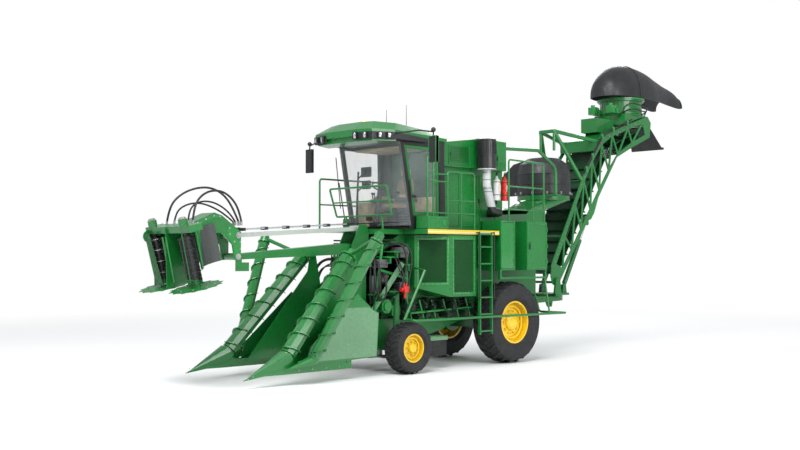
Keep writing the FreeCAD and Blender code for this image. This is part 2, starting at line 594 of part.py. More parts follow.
deflectors = []
for side, sign in SIDES:
    bow = [spot("-720", f"{sign} * 250", "260"), spot("-345", f"{sign} * 300", "260"),
           spot("-110", f"{sign} * 590", "260")]
    inner = [place + FreeCAD.Vector(9, -13 * sign, 0) for place in bow]
    edges = [Part.Arc(*bow), Part.LineSegment(bow[2], inner[2]), Part.Arc(*reversed(inner)),
             Part.LineSegment(inner[0], bow[0])]
    face = Part.Face(Part.Wire([edge.toShape() for edge in edges]))
    deflectors.append(face.extrude(spot("0", "0", "635")))
deflector = feature("topper_deflectors", Part.makeCompound(deflectors), tilt)
nodes.append(deflector)

for side, sign in SIDES:
    rotor = body(f"topper_rotor_{side}")
    barrel(rotor, "XY", "0", "0", "topper_disc_radius", "-topper_disc_plate", "0")
    flat = sketch(rotor, "XY", "-topper_disc_plate")
    outline(flat, [("topper_disc_radius - 12", "-75"), ("topper_disc_radius + topper_tooth", "-8"),
                   ("topper_disc_radius + topper_tooth", "2"), ("topper_disc_radius - 12", "45")])
    tooth = run_feature(rotor, "Pad", flat, "0", "topper_disc_plate")
    around(rotor, tooth, flat, 14)
    barrel(rotor, "XY", "0", "0", "drum_core", "-1", "drum_low + drum_height")
    barrel(rotor, "XY", "0", "0", "30", "0", f"{BEAM_LOW} + 70")
    flat = sketch(rotor, "XY", "drum_low")
    outline(flat, rect("drum_core - 8", "drum_fin", "-5", "5"))
    fin = run_feature(rotor, "Pad", flat, "0", "drum_height - 20")
    around(rotor, fin, flat, 6)
    rotor.Placement = tilt.multiply(FreeCAD.Placement(spot("0", f"{sign} * rotor_half", "0"),
                                                      FreeCAD.Rotation()))
    nodes.append(rotor)

# ---------------------------------------------------------------- crop dividers and scrolls


def scroll(label, low, high, core, flight, pitch):
    """An eight-sided drum with a helical flight, lying between its two bearings."""
    start, end = spot(*low), spot(*high)
    run = (end - start).Length
    gap, radius = size("scroll_gap"), size(core)
    corners = [FreeCAD.Vector(radius * math.cos(math.radians(a)), radius * math.sin(math.radians(a)), gap)
               for a in range(0, 405, 45)]
    drum = Part.Face(Part.makePolygon(corners)).extrude(FreeCAD.Vector(0, 0, run - 2 * gap))
    thick, outer, inner = size("flight_plate"), radius + size(flight), radius * 0.8
    sections = []
    turns = (run - 6 * gap - thick) / size(pitch)
    steps = int(turns * 12)
    for i in range(steps + 1):
        angle = math.radians(30 * i)
        rise = 3 * gap + size(pitch) * i / 12
        out = FreeCAD.Vector(math.cos(angle), math.sin(angle), 0)
        up = FreeCAD.Vector(0, 0, rise)
        top = FreeCAD.Vector(0, 0, thick)
        sections.append(Part.makePolygon([up + out * inner, up + out * outer, up + out * outer + top,
                                          up + out * inner + top, up + out * inner]))
    flights = Part.makeLoft(sections, True, True)
    shaft = Part.makeCylinder(size("scroll_shaft"), run + 60, FreeCAD.Vector(0, 0, -30))
    made = feature(label, drum.multiFuse([flights, shaft]))
    made.Placement = FreeCAD.Placement(start, FreeCAD.Rotation(FreeCAD.Vector(0, 0, 1), end - start))
    nodes.append(made)
    return made


CAP_SHARE, SHAFT_SEAT = 0.85, 32
for side, sign in SIDES:
    inner_low = ("inner_low_x", f"{sign} * inner_low_y", "inner_low_z")
    inner_top = ("inner_top_x", f"{sign} * inner_top_y", "inner_top_z")
    outer_low = ("outer_low_x", f"{sign} * outer_low_y", "outer_low_z")
    outer_top = ("outer_top_x", f"{sign} * outer_top_y", "outer_top_z")
    divider = body(f"divider_frame_{side}")
    slab(divider, "XZ", [("shoe_tip_x", "shoe_tip_z"), ("shoe_root_x", "265"), ("inner_low_x + 190", "400"),
                         ("inner_low_x + 60", "380"), ("inner_low_x - 170", "330"), ("shoe_rear_x", "330"),
                         ("shoe_rear_x", "shoe_low"), ("shoe_root_x - 30", "shoe_low")],
         *span(sign, "shoe_half - shoe_width / 2", "shoe_half + shoe_width / 2"))
    for edge in (-1, 1):
        slab(divider, "XY", [("shoe_tip_x + 50", f"{sign} * (shoe_half + {edge} * 10)"),
                             ("shoe_tip_x + 50", f"{sign} * (shoe_half + {edge} * shoe_width)"),
                             ("inner_low_x + 100", f"{sign} * (shoe_half + {edge} * shoe_width)"),
                             ("inner_low_x + 100", f"{sign} * (shoe_half + {edge} * (shoe_width / 2 - 1))")],
             "0", "600", cut=True)
    slab(divider, "XZ", [("divider_shaft_x - 20", "360"), ("inner_low_x - 350", "300"),
                         ("outer_low_x + 60", "360"),
                         ("outer_low_x - 40", "620"), ("outer_top_x - 160", "1500"),
                         ("divider_shaft_x + 170", "1290"),
                         ("divider_shaft_x + 90", "1210"), ("divider_shaft_x - 70", "1150")],
         *span(sign, "side_sheet_place - side_sheet_plate", "side_sheet_place"))
    slab(divider, "XZ", [("divider_shaft_x - 20", "360"), ("inner_low_x - 190", "300"),
                         ("inner_top_x - 60", "1890"), ("inner_top_x - 130", "inner_top_z + 60"),
                         ("inner_top_x - 260", "inner_top_z + 60"), ("divider_shaft_x - 40", "1210"),
                         ("divider_shaft_x - 70", "1150")],
         *span(sign, "560", "572"))
    for step in ("shoe_rear_x + 60", "inner_low_x - 700"):
        slab(divider, "XZ", rect(step, f"{step} + 60", "305", "345"),
             *span(sign, "566", "side_sheet_place - 4"))
    barrel(divider, "XZ", "divider_shaft_x", "divider_shaft_z", "70",
           *span(sign, "500", "side_sheet_place - 2"))
    barrel(divider, "XZ", "divider_shaft_x", "divider_shaft_z", "divider_shaft_radius + pin_play",
           *span(sign, "490", "divider_shaft_end + 5"), cut=True)

    caps, bores = [], []
    for low, high, core, before, after in ((inner_low, inner_top, "inner_core", 50, 60),
                                           (outer_low, outer_top, "outer_core", 95, 150)):
        start, end = spot(*low), spot(*high)
        axis = (end - start).normalize()
        cap = size(core) * CAP_SHARE
        caps += [rod(start - axis * before, start, cap), rod(end, end + axis * after, cap)]
        bores += [rod(start - axis * SHAFT_SEAT, start + axis * 2, size("scroll_shaft + pin_play")),
                  rod(end - axis * 2, end + axis * SHAFT_SEAT, size("scroll_shaft + pin_play"))]
    inner_axis = (spot(*inner_top) - spot(*inner_low)).normalize()
    outer_axis = (spot(*outer_top) - spot(*outer_low)).normalize()
    foot = block("inner_low_x - 15", "inner_low_x + 150", f"{sign} * inner_low_y - 60",
                 f"{sign} * inner_low_y + 60",
                 "310", "inner_low_z - 20")
    nose_start = spot(*outer_low) - outer_axis * 85
    nose_end = spot("outer_low_x + 290", f"{sign} * (outer_low_y - 95)", "outer_low_z - 90")
    nose = Part.makeCone(70, 18, (nose_end - nose_start).Length, nose_start, nose_end - nose_start)
    nose_arm = block("outer_low_x - 30", "outer_low_x + 90", f"{sign} * 1000 - 72", f"{sign} * 1000 + 72",
                     "340", "outer_low_z - 60")
    top_bar = rod(spot(*inner_top) + inner_axis * 45, spot(*outer_top) + outer_axis * 112, 36)
    hanger = rod(spot(*inner_top) + inner_axis * 45,
                 spot("inner_top_x - 195", f"{sign} * 566", "inner_top_z + 20"), 34)
    fittings = joined(caps + [foot, nose, nose_arm, top_bar, hanger])
    for bore in bores:
        fittings = fittings.cut(bore)
    hardware = feature(f"divider_fittings_{side}", fittings)
    nodes.append(group(f"divider_{side}", [divider, hardware]))
    scroll(f"inner_scroll_{side}", inner_low, inner_top, "inner_core", "inner_flight", "inner_pitch")
    scroll(f"outer_scroll_{side}", outer_low, outer_top, "outer_core", "outer_flight", "outer_pitch")

# ---------------------------------------------------------------- deck, boxes and engine

deck = body("cab_deck")
DECK_TOP = "roof_height + deck_plate"
ON_DECK, ON_FASCIA, ON_CABINET = f"{DECK_TOP} + 1", "fascia_height + 1", "cabinet_top + 1"
slab(deck, "XY", [("deck_rear", "-deck_inner"), ("deck_step", "-deck_inner"), ("deck_step", "-deck_half"),
                  ("deck_front", "-deck_half"), ("deck_front", "-tongue_half"),
                  ("tongue_front", "-tongue_half"), ("tongue_front", "tongue_half"),
                  ("deck_front", "tongue_half"), ("deck_front", "deck_half"), ("deck_step", "deck_half"),
                  ("deck_step", "deck_inner"), ("deck_rear", "deck_inner")],
     "roof_height", DECK_TOP)
slab(deck, "XY", rect("deck_front - 1", "tongue_front + 160", "-deck_half", "-tongue_half - 60"),
     f"{DECK_TOP} - 45", DECK_TOP)
for side, sign in SIDES:
    slab(deck, "XZ", rect("fascia_rear", "deck_front", f"{DECK_TOP} - 1", "fascia_height", "25"),
         *span(sign, "fascia_inside", "deck_half"))
nodes.append(deck)

box = body("cooling_box")
slab(box, "XY", [("box_rear", "wall_inside + wall_plate + 12"), ("box_rear", "deck_half + 5"),
                 ("box_corner", "deck_half + 5"), ("box_front", "box_inner"),
                 ("box_front", "wall_inside + wall_plate + 12")], "box_low", "box_top")
slab(box, "XZ", [("box_corner - 20", "box_low - 10"), ("box_front + 20", "box_low + 190"),
                 ("box_front + 20", "box_low - 10")], "0", "deck_half + 60", cut=True)
slab(box, "XZ", rect("box_rear + screen_border", "box_corner - screen_border",
                     "box_low + screen_border", "box_top - screen_border"),
     "deck_half + 5 - screen_depth", "deck_half + 60", cut=True)
RUN_X, RUN_Y = "(box_front - box_corner)", "(deck_half + 5 - box_inner)"
slab(box, "XY", [(f"box_corner + 0.08 * {RUN_X} + 20", f"deck_half + 5 - 0.08 * {RUN_Y} + 20"),
                 (f"box_corner + 0.92 * {RUN_X} + 20", f"deck_half + 5 - 0.92 * {RUN_Y} + 20"),
                 (f"box_corner + 0.92 * {RUN_X} - 10", f"deck_half + 5 - 0.92 * {RUN_Y} - 10"),
                 (f"box_corner + 0.08 * {RUN_X} - 10", f"deck_half + 5 - 0.08 * {RUN_Y} - 10")],
     "box_low + 240", "box_top - screen_border", cut=True)
nodes.append(box)

tanks = body("right_tanks")
slab(tanks, "XY", [("box_rear", "-(wall_inside + wall_plate + 12)"), ("box_rear", "-(deck_half + 5)"),
                   ("box_corner", "-(deck_half + 5)"), ("box_front", "-box_inner"),
                   ("box_front", "-(wall_inside + wall_plate + 12)")], "box_low", "box_top")
slab(tanks, "XZ", rect("cabinet_rear", "cabinet_front", "cabinet_low - 160", "cabinet_top", "60"),
     "-cabinet_outside", "-cabinet_inside")
slab(tanks, "XZ", rect("cabinet_rear + 120", "cabinet_front - 120", "cabinet_low + 20", "cabinet_low + 160"),
     "-cabinet_inside - 2", "-(wall_inside + wall_plate + 2)")
nodes.append(tanks)

cabinets = body("rear_cabinets")
slab(cabinets, "XZ", rect("cabinet_split", "cabinet_front", "cabinet_low", "cabinet_top"),
     "cabinet_inside", "cabinet_outside")
slab(cabinets, "XZ", rect("cabinet_rear", "cabinet_mid", "cabinet_low", "cabinet_top"),
     "cabinet_inside", "cabinet_outside")
slab(cabinets, "XZ", rect("cabinet_rear + cabinet_wall", "cabinet_mid - cabinet_wall",
                          "cabinet_low + cabinet_wall", "cabinet_top - cabinet_wall"),
     "cabinet_inside + cabinet_wall", "cabinet_outside + 20", cut=True)
slab(cabinets, "XZ", rect("cabinet_mid - 2", "cabinet_split + 2", "cabinet_low", "cabinet_top"),
     "cabinet_inside", "cabinet_inside + 180")
slab(cabinets, "XZ", rect("cabinet_rear + 120", "cabinet_front - 120", "cabinet_low + 20",
                          "cabinet_low + 160"),
     "wall_inside + wall_plate + 2", "cabinet_inside + 2")
slab(cabinets, "XZ", rect("cabinet_rear", "cabinet_front", "cabinet_rail_z", "cabinet_rail_z + cabinet_rail"),
     "cabinet_outside - 60", "cabinet_outside")
for x in ("cabinet_rear", "cabinet_front - 50"):
    slab(cabinets, "XZ", rect(x, f"{x} + 50", "cabinet_rail_z + 2", "cabinet_low + 2"),
         "cabinet_outside - 60", "cabinet_outside")
nodes.append(cabinets)

door = body("cabinet_door")
slab(door, "XZ", rect("cabinet_rear + 4", "cabinet_mid - 4", "cabinet_low + 4", "cabinet_top - 4", "20"),
     "cabinet_outside + 3", "cabinet_outside + 21")
slab(door, "XZ", rect("cabinet_mid - 90", "cabinet_mid - 60", "cabinet_low + 430", "cabinet_low + 540", "10"),
     "cabinet_outside + 20", "cabinet_outside + 45")
nodes.append(door)

engine = body("engine_block")
slab(engine, "XZ", rect("engine_rear", "engine_front", "engine_low", "engine_low + 260"),
     "-engine_half + 100", "engine_half - 100")
slab(engine, "XZ", rect("engine_rear", "engine_front", "engine_low + 250", "engine_top - 330", "40"),
     "-engine_half", "engine_half")
slab(engine, "XZ", rect("engine_rear + 60", "engine_front - 60", "engine_top - 340", "engine_top", "60"),
     "-engine_half + 150", "engine_half - 150")
nodes.append(engine)

hood = body("engine_hood")
slab(hood, "XZ", [("hood_rear", "hood_waist"), ("hood_rear", "hood_rear_top"), ("720", "hood_crest"),
                  ("940", "hood_crest - 40"), ("hood_front", "hood_front_top"), ("hood_front", "hood_waist")],
     "-hood_half", "hood_half")
slab(hood, "XZ", rect("hood_rear", "hood_front", DECK_TOP, "hood_waist + 2"),
     "-hood_lower_half", "hood_lower_half")
slab(hood, "XZ", [("hood_rear + hood_wall", "hood_waist + hood_wall"),
                  ("hood_rear + hood_wall", "hood_rear_top - hood_wall"),
                  ("720", "hood_crest - hood_wall"), ("940", "hood_crest - 40 - hood_wall"),
                  ("hood_front - hood_wall", "hood_front_top - hood_wall"),
                  ("hood_front - hood_wall", "hood_waist + hood_wall")],
     "-hood_half + hood_wall", "hood_half - hood_wall", cut=True)
slab(hood, "XZ", rect("hood_rear + hood_wall", "hood_front - hood_wall", f"{DECK_TOP} - 5",
                      "hood_waist + hood_wall + 2"),
     "-hood_lower_half + hood_wall", "hood_lower_half - hood_wall", cut=True)
nodes.append(hood)

# ---------------------------------------------------------------- cab

shell = body("cab_shell")
POST = [("cab_front_low", "cab_floor"), ("cab_front_high", "cab_top")]
slab(shell, "XZ", [("cab_rear", "cab_floor"), POST[0], POST[1], ("cab_rear + 40", "cab_top")],
     "-cab_half", "cab_half")
slab(shell, "XZ", [("cab_rear + cab_wall", "cab_floor + 40"),
                   ("cab_rear + cab_wall + 35", "cab_top - cab_wall"),
                   ("cab_front_high + 300", "cab_top - cab_wall"),
                   ("cab_front_high + 300", "cab_floor + 40")],
     "-cab_half + cab_wall", "cab_half - cab_wall", cut=True)
OPENING = [("cab_rear + 165", "fascia_height + 15"), ("cab_rear + 190", "cab_top - 120"),
           ("cab_front_high - 100", "cab_top - 120"), ("cab_front_low - 40", "fascia_height + 15")]
slab(shell, "XZ", OPENING, "-cab_half - 20", "cab_half + 20", cut=True)
slab(shell, "YZ", rect("-600", "600", "cab_floor + 610", "cab_top - 150", "40"),
     "cab_rear - 10", "cab_rear + cab_wall + 60", cut=True)
nodes.append(shell)

panes = []
slope = (size("cab_front_high") - size("cab_front_low")) / (size("cab_top") - size("cab_floor"))
pane_low, pane_high = size("cab_floor + 70"), size("cab_top - 70")
pane_x = size("cab_front_low + 6") + slope * size("70")
bulge, thick, half = size("glass_bulge"), size("glass_plate"), size("cab_half - 4")
inside = [FreeCAD.Vector(pane_x, half, pane_low), FreeCAD.Vector(pane_x + bulge - thick, 0, pane_low),
          FreeCAD.Vector(pane_x, -half, pane_low)]
outside = [p + FreeCAD.Vector(thick, 0, 0) for p in reversed(inside)]
edges = [Part.Arc(*inside), Part.LineSegment(inside[2], outside[0]), Part.Arc(*outside),
         Part.LineSegment(outside[2], inside[0])]
screen = Part.Face(Part.Wire([e.toShape() for e in edges]))
rise = pane_high - pane_low
panes.append(screen.extrude(FreeCAD.Vector(slope * rise, 0, rise)))
panes.append(block("cab_rear + 20", "cab_rear + 26", "-585", "585", "cab_floor + 625", "cab_top - 165"))
side_pane = Part.Face(Part.makePolygon([spot(x, "-cab_half + 25", z) for x, z in OPENING + OPENING[:1]]))
panes.append(side_pane.extrude(FreeCAD.Vector(0, -6, 0)))
nodes.append(feature("cab_glass", Part.makeCompound(panes)))

cab_door = body("left_door")
CAB_DOOR = [("cab_rear + 165 + door_gap", "fascia_height + 15 + door_gap"),
            ("cab_rear + 190 + door_gap", "cab_top - 120 - door_gap"),
            ("cab_front_high - 102 - door_gap", "cab_top - 120 - door_gap"),
            ("cab_front_low - 43 - door_gap", "fascia_height + 15 + door_gap")]
slab(cab_door, "XZ", CAB_DOOR, "cab_half - 10 - door_plate", "cab_half - 10")
WINDOW = [("cab_rear + 235", "fascia_height + 90"), ("cab_rear + 255", "cab_top - 185"),
          ("cab_front_high - 175", "cab_top - 185"), ("cab_front_low - 105", "fascia_height + 90")]
slab(cab_door, "XZ", WINDOW, "cab_half - 80", "cab_half + 20", cut=True)
nodes.append(cab_door)
door_pane = Part.Face(Part.makePolygon([spot(x, "cab_half - 28", z) for x, z in WINDOW + WINDOW[:1]]))
nodes.append(feature("left_door_glass", door_pane.extrude(FreeCAD.Vector(0, -6, 0))))

roof_low = [("cab_roof_rear", "-roof_half + 110"), ("cab_front_high + 260", "-roof_half"),
            ("visor_front - 90", "-roof_half + 200"), ("visor_front", "-420"),
            ("visor_front", "420"), ("visor_front - 90", "roof_half - 200"),
            ("cab_front_high + 260", "roof_half"), ("cab_roof_rear", "roof_half - 110")]
roof_high = [("cab_roof_rear + 60", "-roof_half + 260"), ("cab_front_high + 60", "-roof_half + 180"),
             ("visor_front - 330", "-roof_half + 400"), ("visor_front - 260", "-300"),
             ("visor_front - 260", "300"), ("visor_front - 330", "roof_half - 400"),
             ("cab_front_high + 60", "roof_half - 180"), ("cab_roof_rear + 60", "roof_half - 260")]
levels = []
for points, rear_z, front_z in ((roof_low, "cab_top + 5", "cab_top + 5"), (roof_low, "cab_top + 70", "cab_top + 120"),
                                (roof_high, "cab_roof_top - 130", "cab_roof_top")):
    low_z, high_z = size(rear_z), size(front_z)
    first, last = size("cab_roof_rear"), size("visor_front - 260")
    corners = []
    for x, y in points + points[:1]:
        share = (size(x) - first) / (last - first)
        corners.append(FreeCAD.Vector(size(x), size(y), low_z + share * (high_z - low_z)))
    levels.append(Part.makePolygon(corners))
canopy = Part.makeLoft(levels, True, True)
visor = Part.Face(Part.makePolygon([spot(x, y, "cab_top - 90") for x, y in
                                    [("cab_front_high + 190", "-roof_half + 40"),
                                     ("visor_front - 140", "-roof_half + 240"),
                                     ("visor_front - 60", "-420"), ("visor_front - 60", "420"),
                                     ("visor_front - 140", "roof_half - 240"),
                                     ("cab_front_high + 190", "roof_half - 40"),
                                     ("cab_front_high + 190", "-roof_half + 40")]]))
nodes.append(feature("cab_roof", canopy.fuse(visor.extrude(FreeCAD.Vector(0, 0, size("100"))))))

station = body("operator_station")
slab(station, "XZ", [("2010", "cab_floor + 42"), ("2420", "cab_floor + 42"), ("2400", "cab_floor + 380"),
                     ("2560", "cab_floor + 400"), ("2560", "cab_floor + 520", "40"),
                     ("2150", "cab_floor + 500"),
                     ("2080", "cab_floor + 1240", "30"), ("1960", "cab_floor + 1240", "30"),
                     ("2000", "cab_floor + 400")],
     "-270", "270")
for side, sign in SIDES:
    slab(station, "XZ", rect("2100", "2640", "cab_floor + 560", "cab_floor + 680", "40"),
         *span(sign, "290", "400"))
    slab(station, "XZ", rect("2140", "2300", "cab_floor + 42", "cab_floor + 562"), *span(sign, "300", "390"))
slab(station, "XZ", rect("2150", "2250", "cab_floor + 450", "cab_floor + 560"), "-392", "392")
slab(station, "XZ", [("2760", "cab_floor + 42"), ("2860", "cab_floor + 42"), ("2760", "cab_floor + 760"),
                     ("2700", "cab_floor + 740")], "-60", "60")
nodes.append(station)

# ---------------------------------------------------------------- rails, ladder, mirrors and fittings

RAIL = size("rail_radius")

LEFT_Y, RIGHT_Y = "deck_half - 45", "-deck_half + 95"
routes = [([("2600", LEFT_Y, ON_FASCIA), ("2600", LEFT_Y, "4050"), ("2440", LEFT_Y, "4050"),
            ("2440", LEFT_Y, ON_FASCIA)], 60),
          ([("2040", LEFT_Y, ON_DECK), ("2040", LEFT_Y, "3800"), ("1270", LEFT_Y, "3800"),
            ("1270", LEFT_Y, ON_DECK)], 60),
          ([("210", LEFT_Y, ON_CABINET), ("210", LEFT_Y, "4150"), ("-940", LEFT_Y, "4130"),
            ("-940", LEFT_Y, ON_CABINET)], 60),
          ([("3140", "-tongue_half + 40", ON_DECK), ("3140", "-tongue_half + 40", "2800"),
            ("3170", "-tongue_half + 40", "2950"), ("3170", "-780", "2950"), ("3330", "-810", "3490"),
            ("3330", "810", "3490"), ("3170", "780", "2950"), ("3170", "tongue_half - 40", "2950"),
            ("3140", "tongue_half - 40", "2800"), ("3140", "tongue_half - 40", ON_DECK)], 45),
          ([("3340", RIGHT_Y, ON_DECK), ("3340", RIGHT_Y, "3710"), ("1300", RIGHT_Y, "3710"),
            ("1300", RIGHT_Y, ON_DECK)], 60)]
bars = [(("2600", LEFT_Y, z), ("2040", LEFT_Y, z)) for z in ("3740", "3600", "3000")]
bars += [(("2040", LEFT_Y, z), ("1270", LEFT_Y, z)) for z in ("3250", "3000")]
bars += [(("1660", LEFT_Y, ON_DECK), ("1660", LEFT_Y, "3800")),
         (("-570", LEFT_Y, ON_CABINET), ("-570", LEFT_Y, "4136")),
         (("210", LEFT_Y, "3600"), ("-940", LEFT_Y, "3600")),
         (("210", LEFT_Y, "3130"), ("-940", LEFT_Y, "3130")),
         (("3170", "-780", "2950"), ("3170", "780", "2950")),
         (("3250", "-795", "3220"), ("3250", "795", "3220")),
         (("3340", RIGHT_Y, "3200"), ("1300", RIGHT_Y, "3200")),
         (("2320", RIGHT_Y, ON_FASCIA), ("2320", RIGHT_Y, "3710"))]
rail_shapes = [pipe(route, RAIL, bend) for route, bend in routes]
rail_shapes += [rod(spot(*a), spot(*b), 0.8 * RAIL) for a, b in bars]
hoop = pipe([("hood_rear - 3", "735", "4430"), ("-1300", "735", "4470"), ("-1900", "735", "4130"),
             ("-1900", "735", "3552")], 38, 220)
nodes.append(feature("guard_rails", Part.makeCompound([welded(rail_shapes), hoop])))

ladder = body("access_ladder")
for x in ("ladder_rear", "ladder_front - ladder_rail"):
    slab(ladder, "XZ", rect(x, f"{x} + ladder_rail", "ladder_bottom", "roof_height + 10"),
         "ladder_inside", "ladder_inside + ladder_depth")
for step in range(6):
    slab(ladder, "XZ", rect("ladder_rear + 2", "ladder_front - 2", f"rung_first + {step} * rung_pitch - 14",
                            f"rung_first + {step} * rung_pitch + 14"),
         "ladder_inside - 20", "ladder_inside + ladder_depth + 10")
slab(ladder, "XZ", rect("ladder_rear", "ladder_front", "roof_height + 6", "roof_height + 40"),
     "deck_half + 1", "ladder_inside + ladder_depth")
nodes.append(ladder)

guards = []
for side, sign in SIDES:
    y = f"{sign} * guard_y"
    guards.append(pipe([("3100", f"{sign} * 1080", "guard_z + 15"), ("3080", y, "guard_z"),
                        ("-1510", y, "guard_z - 20"),
                        ("-1510", f"{sign} * 570", "guard_z - 20"), ("-1380", f"{sign} * 570", "1340"),
                       ("-1380", f"{sign} * (wall_inside + wall_plate + 1)", "1340")],
                      size("guard_radius"), 60))
    guards.append(rod(spot("-930", y, "guard_z - 16"), spot("-930", f"{sign} * 1175", "cabinet_rail_z - 8"),
                      RAIL))
    low, high = spot("3150", f"{sign} * 1090", "guard_z + 5"), spot("2660", f"{sign} * 1140", "1910")
    guards.append(rod(low, high, 26))
    guards.append(rod(high, spot("2552", f"{sign} * 750", "1960"), 20))
nodes.append(feature("side_guards", Part.makeCompound(guards)))

MIRROR_Y, MIRROR_X = "1750", "3060"
mirrors = []
for side, sign in SIDES:
    y = f"{sign} * {MIRROR_Y}"
    head = Part.makeBox(size("mirror_depth"), size("mirror_width"), size("mirror_height"),
                        spot(f"{MIRROR_X} - mirror_depth / 2", f"{y} - mirror_width / 2", "3880"))
    lamp = Part.makeSphere(45, spot(MIRROR_X, y, "4470"))
    arm = pipe([("3290", f"{sign} * (roof_half + 1)", "4450"),
                ("3290", f"{sign} * (roof_half + 130)", "4450"),
                ("3120", f"{sign} * 1450", "4480"),
                (MIRROR_X, y, "4430"), (MIRROR_X, y, "4340")], 14, 25)
    mirrors.append(joined([head, lamp, arm]))
nodes.append(feature("mirrors", Part.makeCompound(mirrors)))

intake = joined([Part.makeCylinder(size("intake_radius"), size("intake_top - intake_low"),
                                   spot("intake_x", "intake_y", "intake_low")),
                 pipe([("intake_x", "intake_y", "intake_low + 5"), ("intake_x", "intake_y", "3600"),
                       ("intake_x - 170", "intake_y", "3090"),
                       ("intake_x - 420", "intake_y", "3060"),
                       ("intake_x - 420", "hood_lower_half + 2", "3060")],
                      size("intake_pipe_radius"), 95),
                 block("intake_x - 80", "intake_x + 80", "hood_half + 2", "intake_y - 150", "4080", "4160")])
nodes.append(feature("air_intake", intake))

bottles = [block("195", "475", "deck_half - 235", "deck_half - 225", "3500", "3540"),
           block("195", "225", "deck_half - 235", f"{LEFT_Y} - rail_radius - 1", "3500", "3540")]
for x in ("460", "210"):
    tall = size("bottle_high - bottle_low")
    base = spot(x, "deck_half - 155", "bottle_low")
    up = FreeCAD.Vector(0, 0, 1)
    bottles += [Part.makeCylinder(size("bottle_radius"), tall - 90, base),
                Part.makeCone(size("bottle_radius"), 22, 60, base + up * (tall - 90)),
                Part.makeCylinder(22, 40, base + up * (tall - 35))]
nodes.append(feature("fire_extinguishers", welded(bottles)))

# ---------------------------------------------------------------- primary extractor

chamber = body("extractor_chamber")
slab(chamber, "XZ", [("roof_rear - 4", "roof_height + 14"), ("tail_x + 20", "tail_top + 42"),
                     ("tail_x - 60", "tail_top + 42"), ("slew_x + 530", "tail_top + 560"),
                     ("slew_x + 530", "ring_low - 230"), ("slew_x + 1050", "ring_low - 230"),
                     ("roof_rear - 60", "ring_low - 520")],
     "-wall_inside", "wall_inside")
slab(chamber, "XZ", [("roof_rear - 40", "roof_height + 60"), ("tail_x + 40", "tail_top + 60"),
                     ("tail_x - 40", "tail_top + 60"), ("slew_x + 545", "tail_top + 570"),
                     ("slew_x + 545", "ring_low - 200"), ("slew_x + 1040", "ring_low - 200"),
                     ("roof_rear - 80", "ring_low - 530")],
     "-wall_inside + duct_wall", "wall_inside - duct_wall", cut=True)


def plate(corners):
    """A flat plate with these corners."""
    return Part.Face(Part.makePolygon(corners + corners[:1]))


def throat(grow):
    """The duct between the chamber's top and the extractor ring, shrunk by grow."""
    low = [("slew_x + 530", "-wall_inside"), ("slew_x + 1050", "-wall_inside"),
           ("slew_x + 1050", "wall_inside"),
           ("slew_x + 530", "wall_inside")]
    corners = [spot(x, y, "ring_low - 230") for x, y in low]
    middle = (corners[0] + corners[2]) / 2
    bottom = []
    for a, b in zip(corners, corners[1:] + corners[:1]):
        for i in range(4):
            p = a + (b - a) * (i / 4)
            bottom.append(p - (p - middle) * (grow / 500))
    centre = spot("slew_x", "0", "ring_low + 3")
    top = []
    for p in bottom:
        turn = math.atan2(p.y - middle.y, p.x - middle.x)
        radius = size("ring_radius") - 8 - grow
        top.append(centre + FreeCAD.Vector(radius * math.cos(turn), radius * math.sin(turn), 0))
    skin = [plate(bottom), plate(top)]
    for i in range(len(bottom)):
        skin.append(plate([bottom[i - 1], bottom[i], top[i - 1]]))
        skin.append(plate([bottom[i], top[i], top[i - 1]]))
    duct_solid = Part.Solid(Part.Shell(skin))
    if duct_solid.Volume < 0:
        duct_solid.reverse()
    return duct_solid


duct = feature("extractor_throat", throat(0).cut(throat(size("duct_wall"))))
collar = body("extractor_collar")
barrel(collar, "XY", "slew_x", "0", "ring_radius", "ring_low", "dome_low - 8")
barrel(collar, "XY", "slew_x", "0", "ring_radius - 20", "ring_low - 5", "dome_low", cut=True)
slab(collar, "XY", rect("slew_x + 380", "slew_x + 570", "445", "785"), "ring_low + 70", "dome_low - 10")
for turn, rect_points in ((0, rect("slew_x - ring_radius + 12", "slew_x + ring_radius - 12", "-20", "20")),
                          (1, rect("slew_x - 20", "slew_x + 20", "-ring_radius + 12", "ring_radius - 12"))):
    slab(collar, "XY", rect_points, "fan_z + 40", "fan_z + 65")
barrel(collar, "XY", "slew_x", "0", "90", "fan_z + 38", "fan_z + 70")
barrel(collar, "XY", "slew_x", "0", "30 + pin_play", "fan_z + 30", "fan_z + 65", cut=True)
nodes.append(group("extractor_base", [chamber, duct, collar]))

fan = body("extractor_fan")
barrel(fan, "XY", "0", "0", "fan_hub", "-25", "25")
barrel(fan, "XY", "0", "0", "30", "24", "62")
flat = sketch(fan, "XY", "-6")
outline(flat, rect("fan_hub - 20", "fan_radius - 90", "-60", "60"))
vane = run_feature(fan, "Pad", flat, "0", "12")
around(fan, vane, flat, 5)
bind(fan, Placement__Base__x="slew_x", Placement__Base__z="fan_z")
nodes.append(fan)

